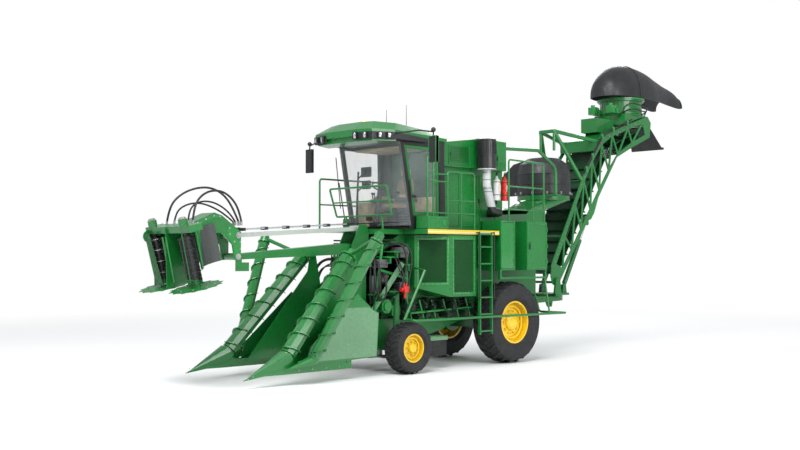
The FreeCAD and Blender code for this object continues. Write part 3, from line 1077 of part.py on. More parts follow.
dome = body("extractor_hood")
DOME = [("0", "0"), ("dome_radius", "0"), ("dome_radius", "dome_height - 420"),
        ("dome_radius - 60", "dome_height - 200"),
        ("dome_radius - 240", "dome_height - 60"), ("0", "dome_height")]
turned(dome, "XZ", DOME)
slab(dome, "YZ", [("0", "0"), ("-dome_radius - 330", "0"), ("-dome_radius - 360", "dome_height - 520"),
                  ("-dome_radius + 60", "dome_height - 175"), ("0", "dome_height - 60")], "-400", "400")
slab(dome, "YZ", [("0", "-5"), ("-dome_radius - 400", "-5"),
                  ("-dome_radius - 400", "dome_height - 520 - dome_wall"),
                  ("-dome_radius + 60", "dome_height - 175 - 2 * dome_wall"),
                  ("0", "dome_height - 60 - 2 * dome_wall")],
     "-400 + dome_wall", "400 - dome_wall", cut=True)
turned(dome, "XZ", [("0", "-5"), ("dome_radius - dome_wall", "-5"),
                    ("dome_radius - dome_wall", "dome_height - 420 - dome_wall"),
                    ("dome_radius - 60 - dome_wall", "dome_height - 200 - dome_wall"),
                    ("dome_radius - 240 - dome_wall", "dome_height - 60 - dome_wall"),
                    ("0", "dome_height - dome_wall")], cut=True)
bind(dome, Placement__Base__x="slew_x", Placement__Base__z="dome_low")
nodes.append(dome)

# ---------------------------------------------------------------- elevator

table = body("elevator_table")
barrel(table, "XY", "slew_x", "0", "slew_radius", "slew_low + table_gap",
       "slew_low + table_gap + table_plate")
TABLE_TOP = "slew_low + table_gap + table_plate"
slab(table, "XY", rect("cylinder_foot_x - 120", "slew_x", "-lug_span", "lug_span"),
     "slew_low + table_gap", TABLE_TOP)
slab(table, "XY", rect("foot_x - 90", "foot_x + 90", "-frame_inside - 75", "frame_inside + 75"),
     "slew_low + table_gap", TABLE_TOP)
for side, sign in SIDES:
    slab(table, "XZ", [("foot_x - 120", f"{TABLE_TOP} - 5"), ("foot_x + 120", f"{TABLE_TOP} - 5"),
                       ("foot_x + 70", "foot_z + 90", "50"), ("foot_x - 70", "foot_z + 90", "50")],
         *span(sign, "frame_inside + 30", "frame_inside + 30 + lug_plate"))
    barrel(table, "XZ", "foot_x", "foot_z", "elevator_pin",
           *span(sign, "frame_inside - 14", "frame_inside + 40"))
    for near in ("cylinder_y - 45", "cylinder_y + 28"):
        slab(table, "XZ", [("cylinder_foot_x - 80", f"{TABLE_TOP} - 5"),
                           ("cylinder_foot_x + 80", f"{TABLE_TOP} - 5"),
                           ("cylinder_foot_x + 50", "cylinder_foot_z + 50", "35"),
                           ("cylinder_foot_x - 50", "cylinder_foot_z + 50", "35")],
             *span(sign, near, f"{near} + 17"))
    barrel(table, "XZ", "cylinder_foot_x", "cylinder_foot_z", "rod_radius",
           *span(sign, "cylinder_y - 40", "cylinder_y + 40"))
nodes.append(table)

# the side frame: its outline and the three-sided openings of its truss, as (x, z) from the foot pin
EDGE = [("170", "380"), ("-990", "2340"), ("-1750", "3330"), ("-2180", "3550"), ("-3680", "4030"),
        ("-3910", "3870"),
        ("-3860", "3540"), ("-3090", "3240"), ("-2420", "2950"), ("-1640", "1948"), ("-1470", "1580", "40"),
        ("-1340", "1430", "40"), ("-1210", "1395"), ("-150", "20"),
        ("-30", "-95", "60"), ("120", "-60", "60"), ("190", "120")]
UPPER = [(30, 380), (-330, 1020), (-740, 1740), (-1070, 2310), (-1400, 2800), (-1790, 3230), (-2230, 3470),
         (-2900, 3690),
         (-3560, 3900)]
LOWER = [(-250, 270), (-600, 720), (-960, 1190), (-1330, 1660), (-1690, 2130), (-2080, 2610), (-2470, 3020),
         (-3080, 3340),
         (-3700, 3580)]
frame = body("frame_sides")
for side, sign in SIDES:
    slab(frame, "XZ", [(f"foot_x + {p[0]}", f"foot_z + {p[1]}", *p[2:]) for p in EDGE],
         *span(sign, "frame_inside", "frame_inside + frame_plate"))
    barrel(frame, "XZ", "foot_x", "foot_z", "85",
           *span(sign, "frame_inside - 10", "frame_inside + frame_plate + 6"))
    barrel(frame, "XZ", "foot_x", "foot_z", "elevator_pin + pin_play",
           *span(sign, "frame_inside - 20", "frame_inside + frame_plate + 10"), cut=True)


def hole(corners):
    """Cut one opening through both sides of the frame."""
    slab(frame, "XZ", [(f"foot_x + {x}", f"foot_z + {z}") for x, z in corners],
         "-frame_inside - frame_plate - 20", "frame_inside + frame_plate + 20", cut=True)


def inset(corners, edge):
    """Move each side of a triangle inwards by edge and return the new corners."""
    spots = [FreeCAD.Vector(*c, 0) for c in corners]
    middle = (spots[0] + spots[1] + spots[2]) / 3
    lengths = [(spots[i] - spots[i - 1]).Length for i in range(3)]
    area = abs((spots[1] - spots[0]).cross(spots[2] - spots[0]).z) / 2
    inradius = 2 * area / sum(lengths)
    centre = (spots[0] * lengths[2] + spots[1] * lengths[0] + spots[2] * lengths[1]) / sum(lengths)
    keep = 1 - edge / inradius
    return [(round(centre.x + (s.x - centre.x) * keep), round(centre.y + (s.y - centre.y) * keep)) for s in spots]


for i in range(len(UPPER) - 1):
    hole(inset([UPPER[i], LOWER[i], UPPER[i + 1]], 28))
    hole(inset([LOWER[i], LOWER[i + 1], UPPER[i + 1]], 28))

ties = []
INNER = ("-frame_inside - 1", "frame_inside + 1")


def tie(x, z, radius):
    ties.append(rod(spot(f"foot_x + {x}", INNER[0], f"foot_z + {z}"),
                    spot(f"foot_x + {x}", INNER[1], f"foot_z + {z}"), radius))


for x, z in ((100, -10), (-330, 1020), (-1070, 2310), (-1790, 3230), (-2900, 3690), (-3560, 3900), (-1400, 1530)):
    tie(x, z, 28)
ties.append(block("foot_x - 1660", "foot_x - 1480", *INNER, "foot_z + 3040", "foot_z + 3300"))
for side, sign in SIDES:
    for near in ("cylinder_y - 52", "cylinder_y + 34"):
        corners = [("foot_x - 1360", "foot_z + 1550"), ("foot_x - 1440", "foot_z + 1550"),
                   ("cylinder_head_x - 60", "cylinder_head_z - 30"),
                   ("cylinder_head_x", "cylinder_head_z - 60"),
                   ("cylinder_head_x + 60", "cylinder_head_z - 30"), ("foot_x - 1360", "foot_z + 1550")]
        lug = Part.Face(Part.makePolygon([spot(x, f"{sign} * ({near})", z) for x, z in corners]))
        ties.append(lug.extrude(spot("0", f"{sign} * 18", "0")))
ARCH = 45
for side, sign in SIDES:
    route = [("foot_x - 990", f"{sign} * (frame_inside + 10)", "foot_z + 2330"),
             ("foot_x - 350", f"{sign} * 190", "foot_z + 3440"),
             ("foot_x - 1690", f"{sign} * (frame_inside + 10)", "foot_z + 3262")]
    ties.append(rod(spot(*route[0]), spot(*route[1]), ARCH))
    ties.append(rod(spot(*route[1]), spot(*route[2]), ARCH))
    ties.append(rod(spot(*route[1]), spot("foot_x - 350", f"{sign} * 190", "foot_z + 2990"), 32))
    ties.append(Part.makeSphere(ARCH, spot(*route[1])))
ties.append(rod(spot("foot_x - 350", "-190", "foot_z + 3440"), spot("foot_x - 350", "190", "foot_z + 3440"),
                ARCH))
cover = Part.Face(Part.makePolygon([spot(f"foot_x + {x}", "-frame_inside - 1", f"foot_z + {z}") for x, z in
                                    ((-1760, 3325), (-2180, 3538), (-3680, 4018), (-3680, 4030),
                                     (-2180, 3550),
                                     (-1752, 3332), (-1760, 3325))]))
ties.append(cover.extrude(spot("0", "2 * frame_inside + 2", "0")))
ties.append(block("foot_x - 2680", "foot_x - 1980", "-230", "230", "foot_z + 3545", "foot_z + 3890"))
nodes.append(group("elevator_frame", [frame, feature("frame_ties", welded(ties))]))

BELT = [(-61, 254), (-1961, 2984), (-3381, 3554)]


def offset_loop(points, distance):
    """A closed loop around an open route, this far from it."""
    route = [FreeCAD.Vector(size(f"foot_x + {x}"), 0, size(f"foot_z + {z}")) for x, z in points]
    steps = [(b - a).normalize() for a, b in zip(route, route[1:])]
    sides = [FreeCAD.Vector(-d.z, 0, d.x) for d in steps]
    first, last = route[0] - steps[0] * distance * 0.55, route[-1] + steps[-1] * distance * 0.55
    near, far = [], []
    for keep, sign in ((near, 1), (far, -1)):
        keep.append(first + sides[0] * distance * sign * 0.6)
        keep.append(route[0] + sides[0] * distance * sign)
        mitre = (sides[0] + sides[1]) / (1 + sides[0].dot(sides[1]))
        keep.append(route[1] + mitre * distance * sign)
        keep.append(route[-1] + sides[1] * distance * sign)
        keep.append(last + sides[1] * distance * sign * 0.6)
    corners = near + far[::-1]
    return corners + corners[:1]


half = size("belt_half")
loops = [Part.Face(Part.makePolygon([p + FreeCAD.Vector(0, -half, 0) for p in offset_loop(BELT, d)]))
         for d in (110, 110 - size("belt_plate"))]
band = loops[0].cut(loops[1]).extrude(FreeCAD.Vector(0, 2 * half, 0))
slats = []
route = [FreeCAD.Vector(size(f"foot_x + {x}"), 0, size(f"foot_z + {z}")) for x, z in BELT]
for a, b in zip(route, route[1:]):
    step = (b - a).normalize()
    up = FreeCAD.Vector(-step.z, 0, step.x)
    count = int(((b - a).Length - 120) / size("slat_pitch"))
    for i in range(count):
        for sign in (1, -1):
            low = a + step * (90 + size("slat_pitch") * (i + 0.25 + 0.25 * sign)) + up * 105 * sign
            corners = [low, low + step * 12, low + step * 12 + up * sign * (size("slat_height") + 5),
                       low + up * sign * (size("slat_height") + 5), low]
            slat = Part.Face(Part.makePolygon([p + FreeCAD.Vector(0, -half, 0) for p in corners]))
            slats.append(slat.extrude(FreeCAD.Vector(0, 2 * half, 0)))
nodes.append(feature("elevator_conveyor", joined([band] + slats)))

foot, head = spot("cylinder_foot_x", "0", "cylinder_foot_z"), spot("cylinder_head_x", "0", "cylinder_head_z")
along = (head - foot).normalize()
reach = (head - foot).Length
barrels, rods = [], []
for side, sign in SIDES:
    shift = FreeCAD.Vector(0, sign * size("cylinder_y"), 0)
    eye = Part.makeCylinder(58, 44, foot + shift - FreeCAD.Vector(0, 22, 0), FreeCAD.Vector(0, 1, 0))
    tube = rod(foot + shift + along * 80, foot + shift + along * (reach - 470), size("barrel_radius"))
    shape = welded([eye, rod(foot + shift, foot + shift + along * 90, 21), tube])
    shape = shape.cut(Part.makeCylinder(size("rod_radius + pin_play"), 140,
                                        foot + shift - FreeCAD.Vector(0, 70, 0),
                                        FreeCAD.Vector(0, 1, 0)))
    shape = shape.cut(rod(foot + shift + along * 95, foot + shift + along * reach,
                          size("rod_radius + pin_play")))
    barrels.append(shape)
    end = Part.makeCylinder(46, 40, head + shift - FreeCAD.Vector(0, 20, 0), FreeCAD.Vector(0, 1, 0))
    rods.append(rod(foot + shift + along * (reach - 1360), head + shift, size("rod_radius")).fuse(end))
nodes.append(feature("lift_cylinder_barrels", Part.makeCompound(barrels)))
nodes.append(feature("lift_cylinder_rods", Part.makeCompound(rods)))

flap = body("bin_flap")
slab(flap, "XZ", rect("-flap_length", "-20", "-6", "6"), "-frame_inside + 40", "frame_inside - 40")
slab(flap, "XZ", rect("-flap_length", "-flap_length + 50", "-6", "26"), "-frame_inside + 10",
     "frame_inside - 10")
barrel(flap, "XZ", "0", "0", "22", "-frame_inside + 40", "frame_inside - 40")
flap.Placement.Rotation = FreeCAD.Rotation(FreeCAD.Vector(0, 1, 0), -size("flap_angle"))
bind(flap, Placement__Base__x="flap_x", Placement__Base__z="flap_z")
nodes.append(flap)

outlet = body("secondary_extractor")
barrel(outlet, "XY", "cowl_x", "0", "throat_radius", "foot_z + 4050", "cowl_low - 70")
barrel(outlet, "XY", "cowl_x", "0", "cowl_radius", "cowl_low - 80", "cowl_low - 8")
slab(outlet, "XZ", [("foot_x - 2800", "foot_z + 3780"), ("foot_x - 2860", "foot_z + 4062"),
                    ("foot_x - 3860", "foot_z + 4062"), ("foot_x - 4010", "foot_z + 3900"),
                    ("foot_x - 3925", "foot_z + 3845"), ("foot_x - 3690", "foot_z + 4060")],
     "-frame_inside + 30", "frame_inside - 30")
barrel(outlet, "XY", "cowl_x", "0", "throat_radius - 40", "foot_z + 4080", "cowl_low", cut=True)
nodes.append(outlet)

STATIONS = [(920, 120, 6090, 6300), (760, 380, 6090, 6600), (400, 540, 6090, 6870), (-60, 560, 6090, 6945),
            (-640, 540, 6090, 6890), (-1140, 460, 6085, 6770), (-1600, 400, 6060, 6660),
            (-2040, 410, 6020, 6560),
            (-2250, 400, 6050, 6380)]


def hood_shell(grow):
    """The trash hood as a run of arched sections, shrunk by grow."""
    wires = []
    for x, wide, low, high in STATIONS:
        corners = []
        for i in range(9):
            turn = math.radians(180 * i / 8)
            corners.append(FreeCAD.Vector(size("cowl_x") + x, (wide - grow) * math.cos(turn),
                                          low + (high - grow - low) * math.sin(turn) ** 0.8))
        wires.append(Part.makePolygon(corners + corners[:1]))
    return Part.makeLoft(wires, True, True)


outer = hood_shell(0)
inner = hood_shell(size("cowl_wall"))
inner.translate(FreeCAD.Vector(0, 0, -1))
cowl = outer.cut(inner)
cowl = cowl.cut(Part.makeBox(260, 760, 500, FreeCAD.Vector(size("cowl_tip") - 130, -380, 5950)))
nodes.append(feature("secondary_hood", cowl))

# ---------------------------------------------------------------- topper hoses

HOSES = [[(7300, 420, 2735), (7270, 412, 2980), (7120, 385, 3170), (6870, 350, 3270), (6600, 320, 3245),
          (6370, 280, 3090), (6240, 235, 2900), (6180, 200, 2760)],
         [(7330, -300, 2735), (7302, -277, 2985), (7150, -225, 3190), (6900, -165, 3320), (6620, -90, 3350),
          (6400, 0, 3230), (6262, 75, 2995), (6180, 120, 2760)]]


def hose(places, radius):
    """A tube along straight runs joined by arcs that touch them."""
    points = [FreeCAD.Vector(*place) for place in places]
    edges, last, bends = [], points[0], []
    for back, here, ahead in zip(points, points[1:], points[2:]):
        into, out = (here - back).normalize(), (ahead - here).normalize()
        reach = 0.45 * min((here - back).Length, (ahead - here).Length)
        bends.append(round(reach / math.tan(into.getAngle(out) / 2)))
        start, end = here - into * reach, here + out * reach
        centre = start + (out - into * into.dot(out)).normalize() * (reach / math.tan(into.getAngle(out) / 2))
        middle = centre + (here - centre).normalize() * (start - centre).Length
        edges += [Part.LineSegment(last, start), Part.Arc(start, middle, end)]
        last = end
    edges.append(Part.LineSegment(last, points[-1]))
    spine = Part.Wire([edge.toShape() for edge in edges])
    section = Part.Wire([Part.Circle(points[0], points[1] - points[0], radius).toShape()])
    tube = spine.makePipeShell([section], True, True)
    print("bend radii", bends, "volume against length",
          round(tube.Volume / (math.pi * radius ** 2 * spine.Length), 4))
    return tube


for number, places in enumerate(HOSES, 1):
    nodes.append(feature(f"topper_hose_{number}", hose(places, size("hose_radius"))))

# ---------------------------------------------------------------- checks and export

doc.recompute()
for thing in doc.Objects:
    if "Invalid" in thing.State or "Error" in thing.State:
        raise RuntimeError(f"{thing.Label} did not rebuild")
os.makedirs("parts", exist_ok=True)
for node in nodes:
    if node.Shape.isNull() or not node.Shape.isValid() or not node.Shape.Solids:
        raise RuntimeError(f"{node.Label} is not a sound solid")
    node.Shape.exportStep(f"parts/{node.Label}.step")
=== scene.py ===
# %% [markdown]
# # A sugarcane harvester, dressed for the studio
# The construction is already there: every plate, tube and joint of the machine is loaded as a fixed
# frame. This file gives each surface its finish and adds the small things that a frame leaves out,
# such as tyre lugs, bolts, lamps, cushions and screens. Nothing here moves a part of the frame.

# %% Load the frame
import math

import bmesh
import bpy
from mathutils import Matrix, Vector


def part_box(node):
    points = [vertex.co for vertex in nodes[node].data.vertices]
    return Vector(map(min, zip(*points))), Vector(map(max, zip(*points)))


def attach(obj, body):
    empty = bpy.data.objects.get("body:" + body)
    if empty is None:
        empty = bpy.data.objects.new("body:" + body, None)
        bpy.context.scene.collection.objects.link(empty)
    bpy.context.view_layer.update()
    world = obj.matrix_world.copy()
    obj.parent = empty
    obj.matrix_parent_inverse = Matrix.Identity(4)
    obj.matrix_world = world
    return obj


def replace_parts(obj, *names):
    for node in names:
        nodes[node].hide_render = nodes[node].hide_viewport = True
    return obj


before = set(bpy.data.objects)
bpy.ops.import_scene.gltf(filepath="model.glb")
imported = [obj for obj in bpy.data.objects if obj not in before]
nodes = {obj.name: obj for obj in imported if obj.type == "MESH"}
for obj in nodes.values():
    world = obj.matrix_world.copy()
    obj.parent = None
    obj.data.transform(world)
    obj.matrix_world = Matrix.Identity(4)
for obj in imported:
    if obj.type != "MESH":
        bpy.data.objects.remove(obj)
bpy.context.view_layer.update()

# %% [markdown]
# ## Helpers for making pieces
# A new piece starts as a bmesh, gets its shape from operators, and becomes one object that sits at the
# origin with its place in its mesh. `make_piece` also says which body carries it and which paint or
# stock it is made of, so that no piece is forgotten.


# %% Turning a bmesh into a piece
def make_piece(name, shape, body, material, smooth=True, angle=35):
    """Turn a bmesh into an object that rides on a body."""
    bmesh.ops.recalc_face_normals(shape, faces=shape.faces)
    mesh = bpy.data.meshes.new(name)
    shape.to_mesh(mesh)
    shape.free()
    piece = bpy.data.objects.new(name, mesh)
    bpy.context.scene.collection.objects.link(piece)
    mesh.materials.append(material)
    if smooth:
        mesh.shade_smooth()
        mesh.set_sharp_from_angle(angle=math.radians(angle))
    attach(piece, body)
    print("made", name, "for", body, "with", len(mesh.polygons), "faces")
    return piece


SIDES = ((1, "left"), (-1, "right"))
UP = (0, 0, 1)


def facing(direction, at):
    """The place of a shape whose own Z points along a direction."""
    turn = Vector(direction).to_track_quat("Z", "Y").to_matrix().to_4x4()
    return Matrix.Translation(Vector(at)) @ turn


def add_disc(shape, at, direction, radius, height, sides=24, top=None):
    """Add a round stud, or a cone where the top radius differs."""
    top = radius if top is None else top
    place = facing(direction, Vector(at) + Vector(direction).normalized() * height / 2)
    bmesh.ops.create_cone(shape, cap_ends=True, segments=sides, radius1=radius, radius2=top,
                          depth=height, matrix=place)


def add_block(shape, low, high, bevel=0.0, segments=2, turn=None):
    """Add a box between two corners, with rounded edges."""
    low, high = Vector(low), Vector(high)
    size = high - low
    place = Matrix.Translation((low + high) / 2)
    if turn is not None:
        place = place @ turn
    made = bmesh.ops.create_cube(shape, size=1.0, matrix=place @ Matrix.Diagonal((*size, 1)))
    if bevel:
        edges = {edge for vert in made["verts"] for edge in vert.link_edges}
        bmesh.ops.bevel(shape, geom=list(edges), offset=bevel, affect="EDGES", segments=segments,
                        profile=0.5, material=-1)


def add_side_block(shape, side, low, high, bevel=0.0, segments=2):
    """Add a box that is given for the left side, or its mirror image on the right."""
    near, far = sorted((side * low[1], side * high[1]))
    add_block(shape, (low[0], near, low[2]), (high[0], far, high[2]), bevel, segments)


def add_bar(shape, start, end, radius, sides=12):
    """Add a round bar between two points."""
    start, end = Vector(start), Vector(end)
    add_disc(shape, start, end - start, radius, (end - start).length, sides)


def add_ball(shape, at, radius):
    """Add a small round knob."""
    bmesh.ops.create_uvsphere(shape, u_segments=20, v_segments=12, radius=radius,
                              matrix=Matrix.Translation(Vector(at)))


def add_ring(shape, at, direction, radius, thickness, sides=40):
    """Add a round ring, turned from a small circle."""
    place = facing(direction, at)
    circle = bmesh.ops.create_circle(shape, segments=10, radius=thickness,
                                     matrix=place @ Matrix.Translation((radius, 0, 0))
                                     @ Matrix.Rotation(math.radians(90), 4, "X"))
    edges = list({edge for vert in circle["verts"] for edge in vert.link_edges})
    bmesh.ops.spin(shape, geom=circle["verts"] + edges, cent=at, axis=Vector(direction).normalized(),
                   angle=math.radians(360), steps=sides, use_merge=True)


def add_bolts(shape, places, direction, radius=0.012, height=0.009):
    """Add hexagon bolt heads on a flat washer."""
    for at in places:
        add_disc(shape, at, direction, radius * 1.45, height * 0.3, 14)
        add_disc(shape, at, direction, radius, height, 6)


def between(start, end, count):
    """Evenly spaced points from one place to another, both included."""
    start, end = Vector(start), Vector(end)
    return [start.lerp(end, i / (count - 1)) for i in range(count)]


# %% [markdown]
# ## Finishes
# Each finish is built from nodes on Object coordinates, so it keeps its scale on every part. Paint gets
# a slow change of tone, a fine orange-peel bump and an uneven gloss under a clear coat. A part that is
# painted in zones takes its colour from its height or its length through a stepped ramp.


# %% Node helpers
def start_material(name):
    """A new material and its shader, with helpers to add nodes and links."""
    material = bpy.data.materials.new(name)
    material.use_nodes = True
    tree = material.node_tree
    shader = tree.nodes["Principled BSDF"]
    place = tree.nodes.new("ShaderNodeTexCoord")
    return material, tree, shader, place.outputs["Object"]


def noise(tree, place, scale, detail=3.0, roughness=0.5):
    """Soft noise, larger for a smaller scale."""
    made = tree.nodes.new("ShaderNodeTexNoise")
    made.inputs["Scale"].default_value = scale
    made.inputs["Detail"].default_value = detail
    made.inputs["Roughness"].default_value = roughness
    tree.links.new(place, made.inputs["Vector"])
    return made.outputs["Fac"]


def spread(tree, value, low, high, out_low, out_high):
    """Stretch a range of values onto another."""
    made = tree.nodes.new("ShaderNodeMapRange")
    for name, number in (("From Min", low), ("From Max", high), ("To Min", out_low), ("To Max", out_high)):
        made.inputs[name].default_value = number
    tree.links.new(value, made.inputs["Value"])
    return made.outputs["Result"]


def blend_colour(tree, share, first, second):
    """Mix two colours, each a constant or a socket."""
    made = tree.nodes.new("ShaderNodeMix")
    made.data_type = "RGBA"
    tree.links.new(share, made.inputs["Factor"])
    for name, colour in (("A", first), ("B", second)):
        socket = next(s for s in made.inputs if s.name == name and s.type == "RGBA")
        if isinstance(colour, bpy.types.NodeSocket):
            tree.links.new(colour, socket)
        else:
            socket.default_value = (*colour, 1)
    return next(s for s in made.outputs if s.type == "RGBA")


def relief(tree, shader, height, strength, distance):
    """Raise the surface by a height, in the shading only."""
    made = tree.nodes.new("ShaderNodeBump")
    made.inputs["Strength"].default_value = strength
    made.inputs["Distance"].default_value = distance
    tree.links.new(height, made.inputs["Height"])
    tree.links.new(made.outputs["Normal"], shader.inputs["Normal"])


def stepped(tree, place, axis, colours):
    """Colours in zones along an axis: (lower edge in metres, colour), in rising order."""
    split = tree.nodes.new("ShaderNodeSeparateXYZ")
    tree.links.new(place, split.inputs["Vector"])
    edges = [edge for edge, colour in colours]
    low, high = edges[0] - 0.5, edges[-1] + 0.5
    share = spread(tree, split.outputs[axis], low, high, 0.0, 1.0)
    ramp = tree.nodes.new("ShaderNodeValToRGB")
    ramp.color_ramp.interpolation = "CONSTANT"
    steps = ramp.color_ramp.elements
    while len(steps) > 1:
        steps.remove(steps[-1])
    steps[0].position = 0.0
    steps[0].color = (*colours[0][1], 1)
    for edge, colour in colours[1:]:
        step = steps.new((edge - low) / (high - low))
        step.color = (*colour, 1)
    tree.links.new(share, ramp.inputs["Fac"])
    return ramp.outputs["Color"]


# %% Paint, metal, rubber and glass
def scaled(colour, factor):
    """A darker or brighter version of a colour."""
    return tuple(channel * factor for channel in colour)


def paint(name, colour, gloss=0.30, coat=0.5, metallic=0.0, tone=0.16, peel=0.05, zones=None):
    """Sprayed paint. zones is (axis, [(edge, colour), ...]) for a part in more than one colour."""
    material, tree, shader, place = start_material(name)
    wide = spread(tree, noise(tree, place, 0.9, 4), 0.3, 0.7, 1 - tone, 1 + tone * 0.4)
    base = stepped(tree, place, *zones) if zones else None
    if base is None:
        fixed = tree.nodes.new("ShaderNodeRGB")
        fixed.outputs[0].default_value = (*colour, 1)
        base = fixed.outputs[0]
    shade = tree.nodes.new("ShaderNodeVectorMath")
    shade.operation = "SCALE"
    tree.links.new(base, shade.inputs[0])
    tree.links.new(wide, shade.inputs["Scale"])
    tree.links.new(shade.outputs["Vector"], shader.inputs["Base Color"])
    rough = spread(tree, noise(tree, place, 14, 5, 0.6), 0.3, 0.7, gloss - 0.05, gloss + 0.10)
    tree.links.new(rough, shader.inputs["Roughness"])
    relief(tree, shader, noise(tree, place, 150, 2), peel, 0.0006)
    shader.inputs["Metallic"].default_value = metallic
    shader.inputs["Coat Weight"].default_value = coat
    shader.inputs["Coat Roughness"].default_value = 0.12
    return material


def rubber(name, colour, rough=0.78, grain=90, depth=0.25):
    """Dull moulded rubber or plastic with a fine grain and a dusty bloom."""
    material, tree, shader, place = start_material(name)
    bloom = spread(tree, noise(tree, place, 5, 6, 0.65), 0.35, 0.75, 0.0, 1.0)
    tree.links.new(blend_colour(tree, bloom, colour, scaled(colour, 1.9)), shader.inputs["Base Color"])
    tree.links.new(spread(tree, noise(tree, place, 22, 4), 0.3, 0.7, rough - 0.12, rough + 0.1),
                   shader.inputs["Roughness"])
    relief(tree, shader, noise(tree, place, grain, 4, 0.6), depth, 0.002)
    return material


def bare_steel(name, colour, rough=0.38, streak=0.35):
    """Worn or brushed steel, with streaks and darker patches."""
    material, tree, shader, place = start_material(name)
    patches = spread(tree, noise(tree, place, 7, 6, 0.6), 0.35, 0.7, 0.0, 1.0)
    tree.links.new(blend_colour(tree, patches, colour, scaled(colour, 1 - streak)),
                   shader.inputs["Base Color"])
    tree.links.new(spread(tree, noise(tree, place, 40, 5, 0.7), 0.3, 0.7, rough - 0.08, rough + 0.16),
                   shader.inputs["Roughness"])
    shader.inputs["Metallic"].default_value = 0.9
    relief(tree, shader, noise(tree, place, 160, 3), 0.08, 0.001)
    return material


def clear_glass(name, tint, alpha):
    """Tinted window glass that stays see-through, with a faint film of dust."""
    material, tree, shader, place = start_material(name)
    film = spread(tree, noise(tree, place, 3, 5), 0.3, 0.8, alpha, alpha + 0.05)
    tree.links.new(film, shader.inputs["Alpha"])
    shader.inputs["Base Color"].default_value = (*tint, 1)
    shader.inputs["Roughness"].default_value = 0.03
    shader.inputs["Specular IOR Level"].default_value = 0.8
    return material


def fabric(name, colour, scale=900):
    """Woven seat cloth: two crossed waves make the weave."""
    material, tree, shader, place = start_material(name)
    waves = []
    for direction in ("X", "Z"):
        wave = tree.nodes.new("ShaderNodeTexWave")
        wave.bands_direction = direction
        wave.inputs["Scale"].default_value = scale / 6
        wave.inputs["Distortion"].default_value = 0.4
        tree.links.new(place, wave.inputs["Vector"])
        waves.append(wave.outputs["Fac"])
    weave = tree.nodes.new("ShaderNodeMath")
    weave.operation = "MULTIPLY"
    for socket, value in zip(weave.inputs, waves):
        tree.links.new(value, socket)
    soft = spread(tree, noise(tree, place, 6, 4), 0.3, 0.7, 0.0, 1.0)
    tree.links.new(blend_colour(tree, soft, scaled(colour, 0.8), colour), shader.inputs["Base Color"])
    shader.inputs["Roughness"].default_value = 0.85
    shader.inputs["Sheen Weight"].default_value = 0.25
    relief(tree, shader, weave.outputs[0], 0.25, 0.001)
    return material


GREEN = (0.006, 0.165, 0.026)
YELLOW = (0.86, 0.56, 0.010)
BLACK = (0.010, 0.010, 0.011)
PALE = (0.62, 0.63, 0.60)
ALUMINIUM = (0.46, 0.47, 0.47)
TAN = (0.42, 0.29, 0.16)
RED = (0.55, 0.012, 0.008)

green_paint = paint("green paint", GREEN)
frame_green = paint("frame green", scaled(GREEN, 0.9), gloss=0.36, coat=0.3, tone=0.24)
yellow_paint = paint("yellow paint", YELLOW, gloss=0.32)
black_paint = paint("black paint", BLACK, gloss=0.34, coat=0.3)
grey_paint = paint("engine grey", (0.10, 0.10, 0.10), gloss=0.5, coat=0.0)
arm_paint = paint("pale arm paint", (0.40, 0.45, 0.41), gloss=0.36, coat=0.3)
deck_paint = paint("deck paint", GREEN, zones=("Z", [(2.0, BLACK), (2.598, GREEN)]))
stripe_paint = paint("side stripe", YELLOW, zones=("Z", [(2.0, YELLOW), (2.628, PALE), (2.642, YELLOW)]))
slat_paint = paint("conveyor slats", (0.006, 0.060, 0.018), gloss=0.45, coat=0.1, tone=0.5)
rotor_paint = paint("topper rotor", BLACK, gloss=0.4, coat=0.1,
                    zones=("Z", [(1.0, GREEN), (1.79, (0.016, 0.018, 0.017))]))
red_paint = paint("red paint", RED, gloss=0.28)
deflector_finish = paint("deflector", BLACK, gloss=0.3, coat=0.3,
                         zones=("X", [(6.0, (0.045, 0.052, 0.050)), (7.06, scaled(GREEN, 1.2))]))
bottle_paint = paint("extinguishers", RED, gloss=0.25, zones=("X", [(0.0, RED), (0.335, (0.55, 0.56, 0.55))]))
intake_zones = [(2.0, BLACK), (3.16, ALUMINIUM), (3.46, BLACK), (3.475, ALUMINIUM), (3.70, BLACK),
                (3.715, ALUMINIUM), (3.93, BLACK)]
intake_finish = paint("intake", BLACK, gloss=0.36, coat=0.2, zones=("Z", intake_zones))
steel = bare_steel("cutting steel", (0.30, 0.30, 0.31))
pale_steel = bare_steel("bright steel", (0.66, 0.67, 0.68), 0.28, 0.2)
bolt_steel = bare_steel("zinc bolts", (0.48, 0.48, 0.46), 0.34, 0.3)
chrome = bare_steel("polished rod", (0.82, 0.82, 0.83), 0.14, 0.1)
tyre_rubber = rubber("tyre rubber", (0.014, 0.014, 0.015), 0.80, 70, 0.3)
hose_rubber = rubber("hose rubber", (0.008, 0.008, 0.009), 0.55, 240, 0.15)
belt_rubber = rubber("belt rubber", (0.014, 0.015, 0.015), 0.8, 60, 0.25)
dome_plastic = rubber("moulded plastic", (0.012, 0.013, 0.014), 0.46, 300, 0.10)
trim_plastic = rubber("trim plastic", (0.010, 0.010, 0.011), 0.5, 260, 0.12)
seat_cloth = fabric("seat cloth", TAN)
trim_tan = rubber("tan trim", (0.33, 0.25, 0.16), 0.6, 320, 0.12)
window_glass = clear_glass("window glass", (0.50, 0.57, 0.57), 0.09)
mirror_glass = bare_steel("mirror face", (0.78, 0.80, 0.82), 0.10, 0.05)
pale_green = paint("pale green sheet", (0.115, 0.275, 0.135), gloss=0.26, coat=0.4)

# %% [markdown]
# ## Painting the frame's parts
# Every part of the frame keeps its own mesh and only gets a finish in its material slot. Parts that a
# more detailed piece replaces below are painted too, because they stand in for collision only.

